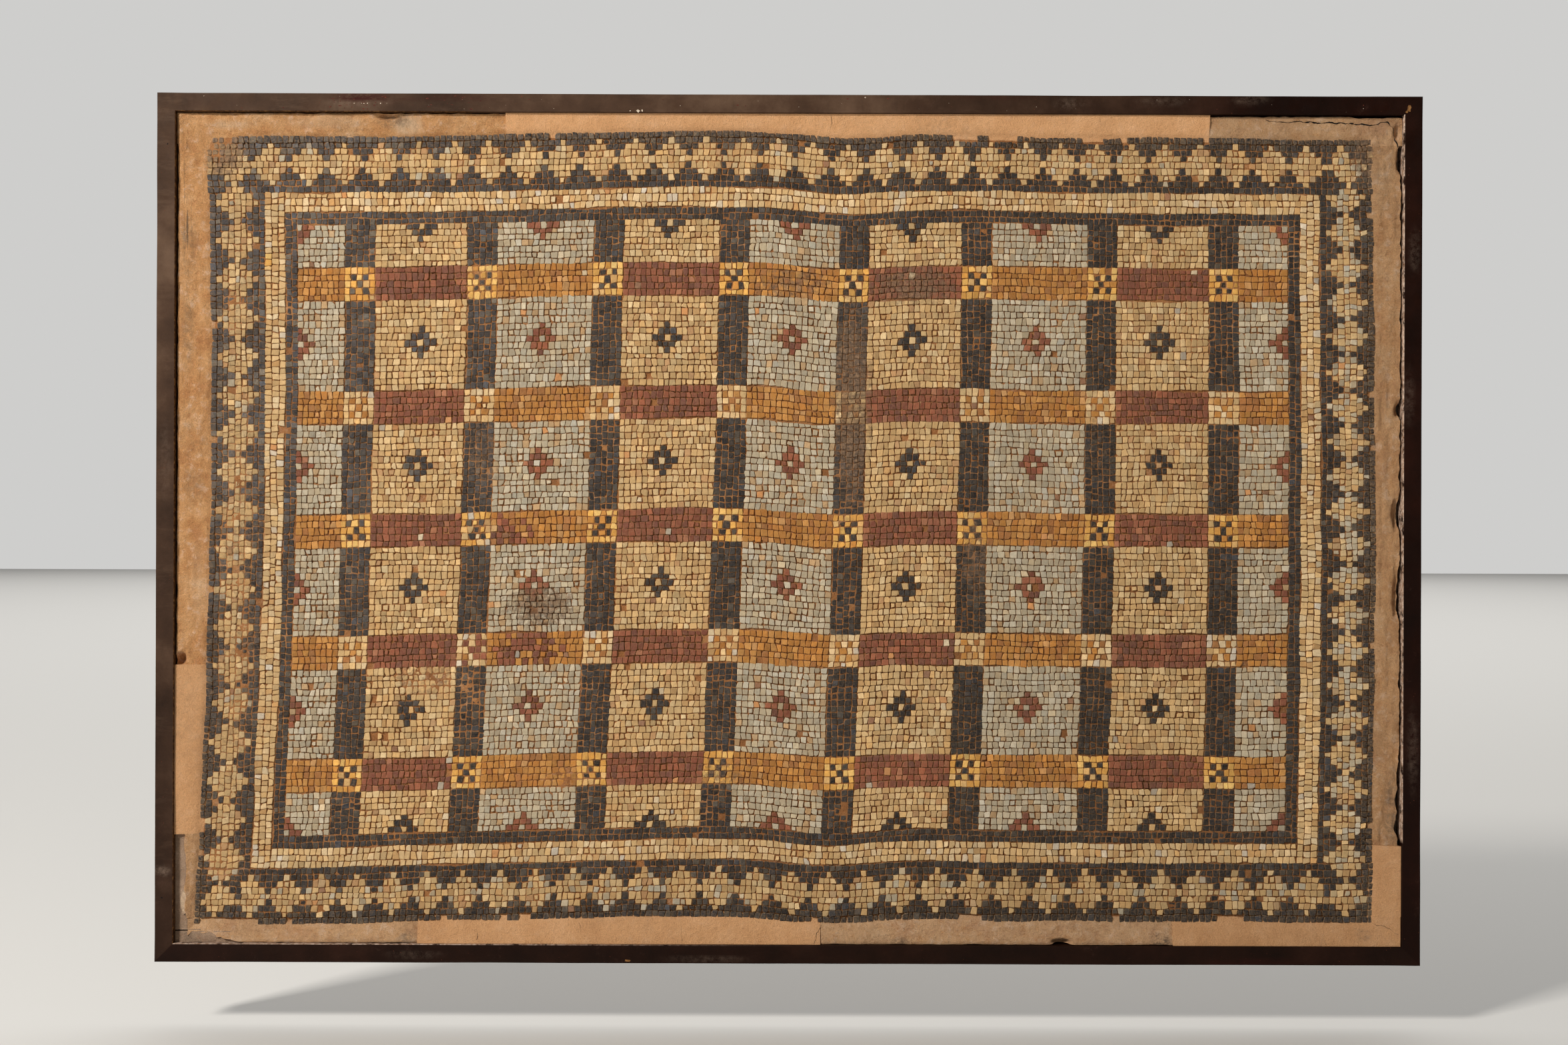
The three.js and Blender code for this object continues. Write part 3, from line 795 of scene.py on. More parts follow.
def stone_tones(kinds):
    """Each stone draws one of its kind's tones, now and then a strange one, and its own brightness."""
    tones = np.zeros((len(kinds), 3))
    for kind, palette in TONES.items():
        chosen = kinds == kind
        colours = np.array([to_linear(*tone) for tone in palette])
        shares = np.array(TONE_SHARES[kind]) / 100
        tones[chosen] = colours[rng.choice(len(palette), chosen.sum(), p=shares)]
    odd = (rng.random(len(kinds)) < STRANGE_SHARE) & (kinds > BLACK)
    strange = np.array([to_linear(*tone) for tone in STRANGE])
    tones[odd] = strange[rng.choice(len(STRANGE), odd.sum())]
    brightness = np.exp(rng.normal(0, 0.10, (len(kinds), 1)) * np.where(kinds == BLACK, 2.4, 1)[:, None])
    warmth = rng.normal(0, 0.03, (len(kinds), 1)) * np.array([1, 0, -1.4])
    return np.clip(tones * brightness * (1 + warmth), 0, 1)


# %% [markdown]
# ### The stepped border
#
# Black stepped triangles stand tip to tip on a pale ground. Each could be a motif stamped again and
# again, but a rule for one stone, from its depth and its place in a period of six, lays all four
# sides, and the same rule, counted along the short side, turns the corners.

# %% The stepped border
def border_kinds(depth, phase, ground):
    """Black where a stone lies within a tooth: 3 - depth stones either side of its middle for the
    outer teeth, depth - 5 for the inner ones, and everywhere in the first and last rows."""
    offset = (phase + TOOTH_PERIOD // 2) % TOOTH_PERIOD - TOOTH_PERIOD // 2
    offset = np.abs(offset)
    outer = (depth <= 3) & (offset <= 3 - depth)
    inner = (depth >= 5) & (offset <= depth - 5)
    whole = (depth == 0) | (depth == BORDER_ROWS - 1)
    return np.where(outer | inner | whole, BLACK, ground)


GREY_SHARES = {"top": 0.03, "bottom": 0.10, "left": 0.02, "right": 0.10}
STRETCH = {"top": 1.0, "bottom": 1.03, "left": 0.97, "right": 0.955}
BOTTOM_SPREAD = 0.04
LOST = [((264, 590), (17, 16)), ((323, 590), (23, 16)), ((456, 590), (15, 16)), ((506, 590), (5, 16)),
        ((-397, -592), (11, 16)), ((42, -590), (5, 16)), ((277, -588), (14, 16)), ((668, -586), (17, 16)),
        ((-884, -452), (12, 10)), ((-884, -491), (12, 6)), ((-846, -600), (44, 16))]
EARTHY = [((-860, 588), (22, 22)), ((-872, 560), (14, 26))]


def within(corners, places):
    """Which stones, once laid, have their middle in one of the oblong places."""
    x, z = lay(corners[..., 0].mean(-1), corners[..., 1].mean(-1))
    found = np.zeros(x.shape, dtype=bool)
    for centre, half in places:
        found |= (np.abs(x - centre[0]) < half[0]) & (np.abs(z - centre[1]) < half[1])
    return found


half_w, half_h = MOSAIC_WIDTH / 2, MOSAIC_HEIGHT / 2
depth_rows = np.arange(BORDER_ROWS)[:, None]


def border_strip(low, high, count, first_tip, side_tip, place, grey_share):
    """One side of the border, nine rows deep, its first row outside. Where a long side turns the
    corner, the teeth of the short side run on through it, counted from their own first tip."""
    corners = along_side(hand_rows(low, high, -BORDER_WIDTH, 0, count, BORDER_ROWS), place)
    k = np.arange(count)[None, :]
    ground = np.where(rng.random((BORDER_ROWS, count)) < grey_share, GREY, BUFF)
    kinds = border_kinds(depth_rows, k - first_tip, ground)
    if side_tip is not None:
        from_end = np.minimum(k, count - 1 - k)
        turned = border_kinds(from_end, depth_rows - side_tip, ground)
        in_corner = (from_end < BORDER_ROWS - 1) & (depth_rows >= 3)
        kinds = np.where(in_corner, turned, kinds)
    kinds = np.where(within(corners, EARTHY) & (rng.random(kinds.shape) < 0.85), BUFF, kinds)
    lost = within(corners, LOST) | (rng.random((BORDER_ROWS, count)) < 0.015)
    kinds = np.where((depth_rows == 0) & lost, -1, kinds)
    set_stones("border_stones_black", corners[kinds == BLACK], kinds[kinds == BLACK])
    set_stones("border_stones_ground", corners[kinds > BLACK], kinds[kinds > BLACK])


def outward(side, depth, along):
    """Depth runs inwards from 0 to -84. Three sides were laid a little wider or narrower, by a stretch
    away from the border's inner edge, and the bottom grows wider from left to right."""
    stretch = STRETCH[side] + (BOTTOM_SPREAD * along / half_w if side == "bottom" else 0)
    return (depth + BORDER_WIDTH) * stretch - BORDER_WIDTH


inner_h = half_h - BORDER_WIDTH
border_strip(-half_w, half_w, 196, 1, 1, lambda a, d: (a, half_h + outward("top", d, a)),
             GREY_SHARES["top"])
border_strip(-half_w, half_w, 194, 0, 0, lambda a, d: (a, -half_h - outward("bottom", d, a)),
             GREY_SHARES["bottom"])
border_strip(-inner_h, inner_h, 105, 4, None, lambda a, d: (-half_w - outward("left", d, a), -a),
             GREY_SHARES["left"])
border_strip(-inner_h, inner_h, 115, 3, None, lambda a, d: (half_w + outward("right", d, a), -a),
             GREY_SHARES["right"])
print("stones in the border:", sum(len(kinds) for laid in floor_stones.values() for kinds in laid[1]))


# %% The cream and black lines
def line_ring(piece, kind, inset, width, rows):
    """Four straight runs of stones round the panel; the upright runs reach into the corners."""
    outer_w, outer_h = half_w - inset, half_h - inset
    count_w = round(2 * (outer_w - width) / STONE_ALONG)
    count_h = round(2 * outer_h / STONE_ALONG)
    for sign in (1, -1):
        level = hand_rows(width - outer_w, outer_w - width, -width, 0, count_w, rows)
        level = along_side(level, lambda a, d: (a, sign * (outer_h + d)))
        set_stones(piece, level, np.full(level.shape[:2], kind))
        upright = hand_rows(-outer_h, outer_h, -width, 0, count_h, rows)
        upright = along_side(upright, lambda a, d: (sign * (outer_w + d), a))
        set_stones(piece, upright, np.full(upright.shape[:2], kind))


line_ring("line_stones_cream", CREAM, BORDER_WIDTH, CREAM_WIDTH, CREAM_ROWS)
line_ring("line_stones_black", BLACK, BORDER_WIDTH + CREAM_WIDTH, BLACK_WIDTH, BLACK_ROWS)
line_kinds = floor_stones["line_stones_cream"][1] + floor_stones["line_stones_black"][1]
print("stones in the two lines:", sum(len(kinds) for kinds in line_kinds))

# %% [markdown]
# ## The field
#
# Cells stand in nine columns and six rows, and the outermost are half cells, as if the floor ran on
# under the border. Their flowers are diamonds of stones around a light eye: |dx| + |dy| of at most
# two. In a half cell the flower's middle stone lies against the border, so only half of it is there.

# %% Edges of the columns and rows
FIELD_INSET = BORDER_WIDTH + CREAM_WIDTH + BLACK_WIDTH
field_w = MOSAIC_WIDTH - 2 * FIELD_INSET
field_h = MOSAIC_HEIGHT - 2 * FIELD_INSET
column_count, row_count = len(COLUMN_WIDTHS), len(ROW_HEIGHTS)
column_widths = COLUMN_WIDTHS * (field_w - UPRIGHT * (column_count - 1)) / COLUMN_WIDTHS.sum()
row_heights = ROW_HEIGHTS * (field_h - LEVEL * (row_count - 1)) / ROW_HEIGHTS.sum()
column_left = -field_w / 2 + np.concatenate([[0], np.cumsum(column_widths + UPRIGHT)[:-1]])
row_top = field_h / 2 - np.concatenate([[0], np.cumsum(row_heights + LEVEL)[:-1]])
print("columns start at", column_left.round(0), "rows at", row_top.round(0))


def flower_centre(index, last, count):
    """The middle stone of a flower: at the outer edge in a half cell, in the middle of a whole one."""
    if index == 0:
        return 0
    return count - 1 if index == last else (count - 1) // 2


# %% Cells with their flowers
def row_edges(row):
    """Top and bottom of one row of cells."""
    return row_top[row], row_top[row] - row_heights[row]


for column in range(column_count):
    ground = BUFF if column % 2 else GREY
    petal = BLACK if column % 2 else RED
    left = column_left[column]
    across = int(round(column_widths[column] / STONE_ALONG))
    centre_x = flower_centre(column, column_count - 1, across)
    for row in range(row_count):
        top, bottom = row_edges(row)
        down = int(round((top - bottom) / STONE_ACROSS))
        centre_z = flower_centre(row, row_count - 1, down)
        corners = hand_rows(left, left + column_widths[column], bottom, top, across, down)
        away = np.abs(np.arange(across)[None, :] - centre_x) + np.abs(np.arange(down)[:, None] - centre_z)
        kinds = np.where((away <= FLOWER_REACH) & (away > 0), petal, ground)
        plain = kinds == ground
        set_stones(f"cell_stones_{KINDS[ground]}", corners[plain], kinds[plain])
        set_stones(f"flower_stones_{KINDS[petal]}", corners[~plain], kinds[~plain])


# %% Black uprights, coloured levels and chequered crossings
def crossing_kinds(row):
    """A five by five square with a light ring and a quincunx inside."""
    k = np.arange(BAND_COUNT)
    dx, dy = np.abs(k[None, :] - 2), np.abs(k[:, None] - 2)
    spots = (dx == dy) & (dx <= 1)
    if row % 2 == 0:
        return np.where(spots, BLACK, YELLOW)
    return np.where(spots, OCHRE, CREAM)


def turned_rows(left, right, low, high, columns, rows):
    """Stones laid in upright files instead of level rows: the same, with x and z exchanged."""
    return along_side(hand_rows(low, high, left, right, rows, columns, TIGHT_JOINT), lambda a, d: (d, a))


for column in range(column_count - 1):
    left = column_left[column] + column_widths[column]
    for row in range(row_count):
        top, bottom = row_edges(row)
        down = int(round((top - bottom) / STONE_ACROSS))
        corners = turned_rows(left, left + UPRIGHT, bottom, top, BAND_COUNT, down)
        set_stones("upright_stones_black", corners, np.full(corners.shape[:2], BLACK))
for row in range(row_count - 1):
    for column in range(column_count):
        left = column_left[column]
        across = int(round(column_widths[column] / STONE_ALONG))
        kind = RED if column % 2 else OCHRE
        top, bottom = row_edges(row)[1], row_edges(row + 1)[0]
        corners = hand_rows(left, left + column_widths[column], bottom, top, across, BAND_COUNT)
        set_stones(f"level_stones_{KINDS[kind]}", corners, np.full(corners.shape[:2], kind))
        if column < column_count - 1:
            left = left + column_widths[column]
            corners = hand_rows(left, left + UPRIGHT, bottom, top, BAND_COUNT, BAND_COUNT)
            set_stones("crossing_stones", corners, crossing_kinds(row))
print({piece: sum(len(k) for k in laid[1]) for piece, laid in floor_stones.items()})

# %% [markdown]
# ## From corners to stones
#
# A cut stone is a slightly tapering block with a worn top. A bevelled cube copied thousands of times
# would show its copies, so each has its own mesh: a buried foot of four points, a shoulder of eight,
# where each corner is chipped off, and a top of four, a little uneven and tilted. Sixteen points and
# twenty-six triangles are all that so many stones can afford.

# %% Mesh of one piece's stones
FOOT = SLAB_FRONT + 7.0
FIRM_SHARE = 0.996
STONE_POINTS = 16
TOP_START = 12


def stone_bodies(corners, kinds):
    """Rings of foot (4), shoulder (8) and top (4) for all stones at once, as (stones, 16, 3), and the
    wear and soil at each. The shoulder cuts each corner; the top is each cut's middle drawn in."""
    x, z = lay(corners[..., 0], corners[..., 1])
    ring = np.stack([x, z], -1)
    centre = ring.mean(1, keepdims=True)
    count = len(ring)
    wear = place_map(centre[..., 0], centre[..., 1], WORN)[:, 0]
    soil = place_map(centre[..., 0], centre[..., 1], SOILED)[:, 0]
    chip = rng.uniform(0.05, 0.14, (count, 4, 2)) + 0.14 * wear[:, None, None]
    broken = rng.random((count, 4, 1)) < 0.05 + 0.2 * wear[:, None, None]
    chip = np.where(broken, rng.uniform(0.22, 0.45, chip.shape), chip)
    shoulder = np.empty((count, 8, 2))
    shoulder[:, 0::2] = ring + (np.roll(ring, 1, 1) - ring) * chip[..., :1]
    shoulder[:, 1::2] = ring + (np.roll(ring, -1, 1) - ring) * chip[..., 1:]
    dark = kinds == BLACK
    draw = rng.uniform(0.05, 0.11, (count, 4, 1)) + 0.14 * wear[:, None, None]
    cut = (shoulder[:, 0::2] + shoulder[:, 1::2]) / 2
    top = cut + (centre - cut) * draw
    crown = STONE_FRONT - np.where(dark, 0.5, 0) + rng.normal(0, 0.28, count) - 1.1 * wear
    crown = crown + 0.5 * waves(centre[:, 0, 0], centre[:, 0, 1], 60, 5)
    tilt = rng.normal(0, 0.05, (count, 1, 2))
    rise = ((shoulder - centre) * tilt).sum(-1) + rng.normal(0, 0.07, (count, 8))
    drop = rng.uniform(0.35, 0.9, (count, 8)) + 0.5 * wear[:, None]
    bodies = np.empty((count, STONE_POINTS, 3))
    bodies[:, 0:4, 0::2] = ring + (centre - ring) * 0.1
    bodies[:, 0:4, 1] = -FOOT
    bodies[:, 4:TOP_START, 0::2] = shoulder
    bodies[:, 4:TOP_START, 1] = -(crown[:, None] + rise - drop)
    bodies[:, TOP_START:, 0::2] = top
    bodies[:, TOP_START:, 1] = -(crown[:, None] + (rise[:, 0::2] + rise[:, 1::2]) / 2)
    return bodies, wear, soil


def stone_faces(count):
    """Face corners for `count` stones, worked out for one and shifted by 16 for each next: the top,
    and for each side its wall, its bevel and the two triangles of the cut corner."""
    quads, triangles = [[12, 13, 14, 15]], []
    for k in range(4):
        after = (k + 1) % 4
        leave, arrive = 5 + 2 * k, 4 + 2 * after
        quads += [[k, after, arrive, leave], [leave, arrive, 12 + after, 12 + k]]
        triangles += [[k, leave, leave - 1], [leave - 1, leave, 12 + k]]
    steps = STONE_POINTS * np.arange(count)[:, None, None]
    return [(np.array(faces) + steps).reshape(-1, len(faces[0])) for faces in (quads, triangles)]


STONE_PIECES = {
    "border_stones_black": ("black", ["border_outer_black", "border_inner_black"]),
    "border_stones_ground": ("light", ["border_buff"]),
    "line_stones_cream": ("light", ["fillet_cream"]),
    "line_stones_black": ("black", ["fillet_black"]),
    "upright_stones_black": ("black", [f"upright_{k}" for k in range(1, 9)]),
    "cell_stones_buff": ("light", [f"cells_{k}" for k in (2, 4, 6, 8)]),
    "cell_stones_grey": ("light", [f"cells_{k}" for k in (1, 3, 5, 7, 9)]),
    "flower_stones_black": ("black", [f"flowers_{k}" for k in (2, 4, 6, 8)]),
    "flower_stones_red": ("warm", [f"flowers_{k}" for k in (1, 3, 5, 7, 9)]),
    "level_stones_ochre": ("warm", [f"level_ochre_{k}" for k in range(1, 6)]),
    "level_stones_red": ("warm", [f"level_red_{k}" for k in range(1, 6)]),
    "crossing_stones": ("warm", [f"crossings_{k}" for k in range(1, 6)]),
}


def haze_at(place):
    """Lime dust is thickest on the outermost row: 0.36 exp(-depth / 14)."""
    left, right = BOTTOM_LEFT[0] * 0.5 + TOP_LEFT[0] * 0.5, TOP_RIGHT[0]
    inside_x = np.minimum(place[:, 0] - left, right - place[:, 0])
    inside_z = np.minimum(place[:, 2] - BOTTOM_LEFT[1], TOP_LEFT[1] - place[:, 2])
    return 0.36 * np.exp(-np.maximum(np.minimum(inside_x, inside_z), 0) / 14)


def tone_and_painted_light_at(place, kinds):
    """Black stones are greyer towards the upper left, nearly twice as light there, and darker low down
    and right of the middle. Others are a little dimmer right of the middle, in the left border and in
    the bottom border. The lightening at the upper left and the darkening low down and to the right
    are painted light and shade, falling off away from the lamp on the upper left."""
    grey = np.clip((-place[:, 0] - 250) / 500, 0, 1) * np.clip((place[:, 2] + 350) / 500, 0, 1)
    dim = np.maximum(np.clip((-place[:, 0] - 700) / 90, 0, 1), np.clip((-place[:, 2] - 440) / 70, 0, 1))
    low = np.clip((100 - place[:, 2]) / 200, 0, 1)
    right = np.clip((place[:, 0] - 80) / 250, 0, 1) * np.clip(1 - (place[:, 0] - 640) / 90, 0, 1)
    black_tone = 1 + 0.9 * grey - 0.3 * right - 0.12 * low
    pale_tone = 1 - 0.13 * dim - 0.07 * right
    return np.where(kinds == BLACK, black_tone, pale_tone)[:, None]


def make_stones(name):
    """Joins all of a piece's stones into one mesh, mixes in other kinds where named, and drops the few
    stones that are lost, more of them where wear is deep."""
    finish, nodes = STONE_PIECES[name]
    corners = np.concatenate(floor_stones[name][0])
    kinds = np.concatenate(floor_stones[name][1])
    bodies, wear, soil = stone_bodies(corners, kinds)
    middle = bodies[:, :4].mean(1)
    for centre, radii, kind, share in MIXED:
        swap = rng.random(len(kinds)) < share * patch(middle[:, 0], middle[:, 2], centre, radii)
        swap &= (kinds > BLACK) & ~((kinds == GREY) & (kind == RED))
        kinds = np.where(swap, kind, kinds)
    kept = rng.random(len(kinds)) < FIRM_SHARE - 0.5 * np.maximum(wear - 0.5, 0)
    bodies, wear, soil, kinds = bodies[kept], wear[kept], soil[kept], kinds[kept]
    piece = new_piece(name, bodies.reshape(-1, 3), stone_faces(len(kinds)), STONE[finish], nodes)
    # Stone tones here carry painted light and shade across the panel, lighter toward the lamp on the upper
    # left.
    tones = np.clip(stone_tones(kinds) * tone_and_painted_light_at(middle[kept], kinds), 0, 1)
    store(piece, "stone_tone", np.repeat(tones, STONE_POINTS, 0))
    store(piece, "edge", np.tile(np.arange(STONE_POINTS) < TOP_START, len(kinds)))
    store(piece, "own", np.repeat(rng.random(len(kinds)), STONE_POINTS))
    store(piece, "haze", np.repeat(haze_at(middle[kept]) + 0.5 * wear, STONE_POINTS))
    store(piece, "soil", np.repeat(np.maximum(soil, wear * 0.3), STONE_POINTS))


for name in STONE_PIECES:
    make_stones(name)

# %% [markdown]
# ## The mortar between the stones
#
# Mortar was pressed up between the stones. Black stones sit almost flush in it, and pale ones stand a
# little higher, so their joints are dark. Joints could be modelled one by one, but a bed under the
# whole mosaic fills them all: one height field, lower round its rim, where the margin takes over.

# %% Bed under the mosaic
BED_STEP = 9.0
FLUSH_JOINT = 1.6
DEEP_JOINT = 2.5
RIM_DROP = 1.8


def dark_share(x, z):
    """How black the pattern is: 1 on the black line and the uprights, 0.6 on the border, 0 elsewhere."""
    depth = np.minimum(half_w - np.abs(x), half_h - np.abs(z))
    border = depth < BORDER_WIDTH
    line = (depth > BORDER_WIDTH + CREAM_WIDTH) & (depth < FIELD_INSET)
    in_upright = np.zeros(x.shape, dtype=bool)
    for column in range(column_count - 1):
        left = column_left[column] + column_widths[column]
        in_upright |= (x > left) & (x < left + UPRIGHT) & (depth > FIELD_INSET)
    return np.where(line | in_upright, 1.0, np.where(border, 0.6, 0.0))


def marks(piece, vertices, stain, pale=0.0, stroke=0.0, shade=1.0):
    """Stores a mortar's four attributes."""
    for attribute, values in (("stain", stain), ("pale", pale), ("stroke", stroke), ("shade", shade)):
        store(piece, attribute, np.zeros(len(vertices)) + values)


bed_x, bed_z = np.meshgrid(
    np.linspace(-half_w + 1, half_w - 1, int(MOSAIC_WIDTH / BED_STEP)),
    np.linspace(-half_h + 1, half_h - 1, int(MOSAIC_HEIGHT / BED_STEP)),
)
laid_x, laid_z = lay(bed_x, bed_z)
bed_height = STONE_FRONT - DEEP_JOINT + dark_share(bed_x, bed_z) * (DEEP_JOINT - FLUSH_JOINT)
bed_height = bed_height + 0.3 * rough(laid_x, laid_z, 16, 7)
rim = [0, 1, -2, -1]
bed_height[rim, :] -= RIM_DROP
bed_height[:, rim] -= RIM_DROP
vertices, faces = slab_of(laid_x, laid_z, bed_height, LAYER_BACK)
bed = new_piece("joint_bed", vertices, faces, joint_mortar, ["setting_bed"], smooth=True)
x, z = vertices[:, 0], vertices[:, 2]
# The joints low and to the right get a shade below 1: painted shadow, deepening the lamp's own shadows
# there.
painted_shadow_lower_right = np.clip((x + 50) / 300, 0, 1) * np.clip((150 - z) / 300, 0, 1)
marks(bed, vertices, place_map(x, z, SOILED), shade=1 - 0.3 * painted_shadow_lower_right)

# %% [markdown]
# ## Smears where stones are worn
#
# Worn places look different for a second reason: mortar has been rubbed over them, so stones show
# only in part. Raising the whole bed there would need a finer bed everywhere, so each worn place gets
# its own fine patch of mortar, whose lumps just rise above the tops of the stones.

# %% Smears
SMEAR_STEP = 2.4


def smear(centre, radii, strength, seed):
    """A fine grid over one oval: its height is a low base plus the oval times (a rise + lumps)."""
    reach = 1.25 * np.array(radii)
    x, z = np.meshgrid(
        np.linspace(centre[0] - reach[0], centre[0] + reach[0], int(2 * reach[0] / SMEAR_STEP)),
        np.linspace(centre[1] - reach[1], centre[1] + reach[1], int(2 * reach[1] / SMEAR_STEP)),
    )
    cover = patch(x, z, centre, radii)
    lumps = 1.6 * rough(x, z, 12, seed, 4)
    height = STONE_FRONT - 3.6 + cover * (1.5 + strength + lumps)
    return slab_of(x, z, height, STONE_FRONT - 5)


def joined(bodies):
    """Several bodies as one mesh: faces are renumbered by the points that come before."""
    vertices = np.concatenate([v for v, _ in bodies])
    starts = np.cumsum([0] + [len(v) for v, _ in bodies[:-1]])
    faces = [f + start for (_, many), start in zip(bodies, starts) for f in many]
    return vertices, faces


patches = [smear(centre, radii, depth, 300 + 7 * k) for k, (centre, radii, depth) in enumerate(WORN)]
vertices, faces = joined(patches)
smears = new_piece("mortar_smears", vertices, faces, joint_mortar, None, smooth=True)
marks(smears, vertices, 0.15 * place_map(vertices[:, 0], vertices[:, 2], SOILED), 0, 0, 1.06)

# %% [markdown]
# ## The margin and its repairs
#
# Round the mosaic runs a strip of old mortar, brushed along its length and crumbling at the steel, and
# four smoother repairs interrupt it. Both climb from the stones to near the face of the frame. They
# could be sculpted, but two distances say it all: how far a point lies outside the stones, and how
# far it lies from the steel. Height is a function of both.

# %% Distances
MARGIN_STEP = 2.6
ACROSS = 17
UNDERLAP = 11.0
BEYOND = 70.0
MORTAR_EDGE = STONE_FRONT - 1.2


def laid_edge(side, at):
    """Where the outer edge of the laid stones runs on one side: its z at given x, or its x at given
    z, read off the laid line by interpolation."""
    if side in ("top", "bottom"):
        u = np.linspace(-half_w - BEYOND, half_w + BEYOND, 500)
        sign = 1 if side == "top" else -1
        line_x, line_z = lay(u, sign * (half_h + outward(side, 0, np.clip(u, -half_w, half_w))))
        return np.interp(at, line_x, line_z)
    u = np.linspace(-half_h - BEYOND, half_h + BEYOND, 400)
    sign = 1 if side == "right" else -1
    line_x, line_z = lay(np.full_like(u, sign * (half_w + outward(side, 0, 0))), u)
    return np.interp(at, line_z, line_x)


def outside(x, z):
    """How far a point lies outside the laid stones, in mm; negative among them."""
    level = np.maximum(laid_edge("left", z) - x, x - laid_edge("right", z))
    upright = np.maximum(z - laid_edge("top", x), laid_edge("bottom", x) - z)
    return np.maximum(level, upright)


def from_steel(x, z):
    """How far a point lies from the nearest bar, in mm."""
    return np.minimum(INSIDE_X - np.abs(x), INSIDE_Z - np.abs(z))


def margin_grid(side, start, end, gap):
    """A grid over one side from start to end: its 17 columns run across from 11 mm under the stones
    to the steel, less a gap that may vary along the side."""
    along = np.linspace(start, end, max(int((end - start) / MARGIN_STEP), 2) + 1)[:, None]
    share = np.linspace(0, 1, ACROSS)[None, :]
    sign = 1 if side in ("top", "right") else -1
    inner = laid_edge(side, along) - sign * UNDERLAP
    limit = INSIDE_Z if side in ("top", "bottom") else INSIDE_X
    across = inner + (sign * (limit - gap(along)) - inner) * share
    along = along + 0 * share
    return (along, across) if side in ("top", "bottom") else (across, along)


print(f"the margin is {INSIDE_Z - laid_edge('top', 0.0):.1f} mm wide in the middle of the top")


# %% Old mortar
CHIPPED = [((915, 600), (5, 12), 6), ((916, 556), (3, 16), 5), ((916, 182), (5, 9), 8),
           ((914, 25), (6, 22), 8), ((916, -100), (6, 34), 7), ((412, -620), (14, 4), 8),
           ((-913, -198), (6, 9), 10), ((-606, 618), (18, 4), 4)]
BRUSHED = 0.16


def ragged(base, spread, seed, wide=()):
    """A gap along the steel: base + spread x |fractal noise|, wider by bells at named places."""
    def gap(u):
        """The gap's width at each place along the side."""
        width = base + spread * np.abs(rough(u, 0 * u, 22, seed, 4))
        for centre, reach, more in wide:
            bell = np.exp(-(((u - centre) / reach) ** 4))
            width = width + more * bell * (0.75 + 0.35 * rough(u, 0 * u, 12, seed + 9, 3))
        return width
    return gap


def under_stones(x, z, d):
    """Mortar that has run in under the outermost stones: 1.6 mm below their tops at the edge and
    0.3 mm lower for each millimetre inward, so it is lost in the joint bed behind the first row."""
    return STONE_FRONT - 1.6 + 0.3 * d + 0.25 * rough(x, z, 14, 87, 2)


def old_height(x, z, bare=0.0):
    """Old mortar climbs with share = d / (d + e), d from the stones and e from the steel, with fractal
    lumps, brush ridges that run with the side, a lip rounded by exp(-(e / 2.2)^2), and chips broken
    out. Where a strip `bare` mm wide has lost its mortar at the steel, the climb ends at that strip."""
    d, e = outside(x, z), from_steel(x, z)
    beyond, left_over = np.clip(d, 0, None), np.clip(e - bare, 0, None)
    climb = 1.2 * (1 - np.exp(-beyond / 3)) + (7.8 - 0.15 * bare) * beyond / (beyond + left_over + 0.01)
    on_side = np.abs(x) - INSIDE_X > np.abs(z) - INSIDE_Z
    ridges = np.where(on_side, rough(x, z * BRUSHED, 5, 81), rough(x * BRUSHED, z, 5, 82))
    height = MORTAR_EDGE + climb + 0.6 * rough(x, z, 38, 83, 4) + 0.45 * rough(x, z, 8, 86, 2)
    height = height + np.where(x > half_w, 1.4, 0.6) * ridges - 1.8 * np.exp(-((e / 2.2) ** 2))
    height = np.minimum(height, FRAME_FRONT - 1) - 1.5 * place_map(x, z, CHIPPED)
    return np.where(d < 0, under_stones(x, z, d), height)


STAINED = [((-595, 613), (26, 12), 0.8), ((170, -622), (14, 10), 0.8), ((562, -620), (16, 12), 0.9),
           ((-570, -620), (15, 12), 0.9), ((908, -420), (10, 60), 0.7), ((-905, 300), (9, 70), 0.5),
           ((-898, 60), (16, 30), 0.35), ((-903, 420), (12, 50), 0.4), ((890, 560), (20, 60), 0.35)]
LIMEWASHED = [((-575, 606), (22, 14), 0.9), ((-700, 610), (60, 10), 0.4), ((-845, 606), (30, 6), 0.6),
              ((690, -606), (60, 10), 0.3), ((-890, -80), (10, 60), 0.3)]
SCRATCHED = [((-906, 500), (5, 110), 1.0), ((-905, 180), (4, 60), 0.3)]


def old_margin(name, side, start, end, gap, shade=1.0, pale=0.0, bare=0.0):
    """One stretch of old mortar, with its stains, limewash and scratches, and painted light and shade given
    by shade.
    """
    x, z = margin_grid(side, start, end, gap)
    vertices, faces = slab_of(x, z, old_height(x, z, bare), LAYER_BACK)
    piece = new_piece(name, vertices, faces, old_mortar, None, smooth=True)
    x, z = vertices[:, 0], vertices[:, 2]
    drifts = 0.25 * np.clip(rough(x, z, 60, 140), 0, 1)
    marks(piece, vertices, np.clip(place_map(x, z, STAINED) + drifts, 0, 1),
          np.maximum(place_map(x, z, LIMEWASHED), pale), place_map(x, z, SCRATCHED), shade)


def cad_span(node, axis):
    """A repair's two ends along one axis, drawn in by 0.2 mm."""
    low, high = span(node, axis)
    return low + 0.2, high - 0.2


top_low, top_high = cad_span("repair_top", 0)
bottom_low, bottom_high = cad_span("repair_bottom", 0)
left_low, left_high = cad_span("repair_left", 2)
corner_along = cad_span("repair_corner", 0)[0]
corner_up = cad_span("repair_corner", 2)[1]
edge_x = INSIDE_X - 0.8
side_top = laid_edge("top", np.array([-edge_x, edge_x])) - UNDERLAP + 1
side_bottom = laid_edge("bottom", np.array([-edge_x, edge_x])) + UNDERLAP - 1

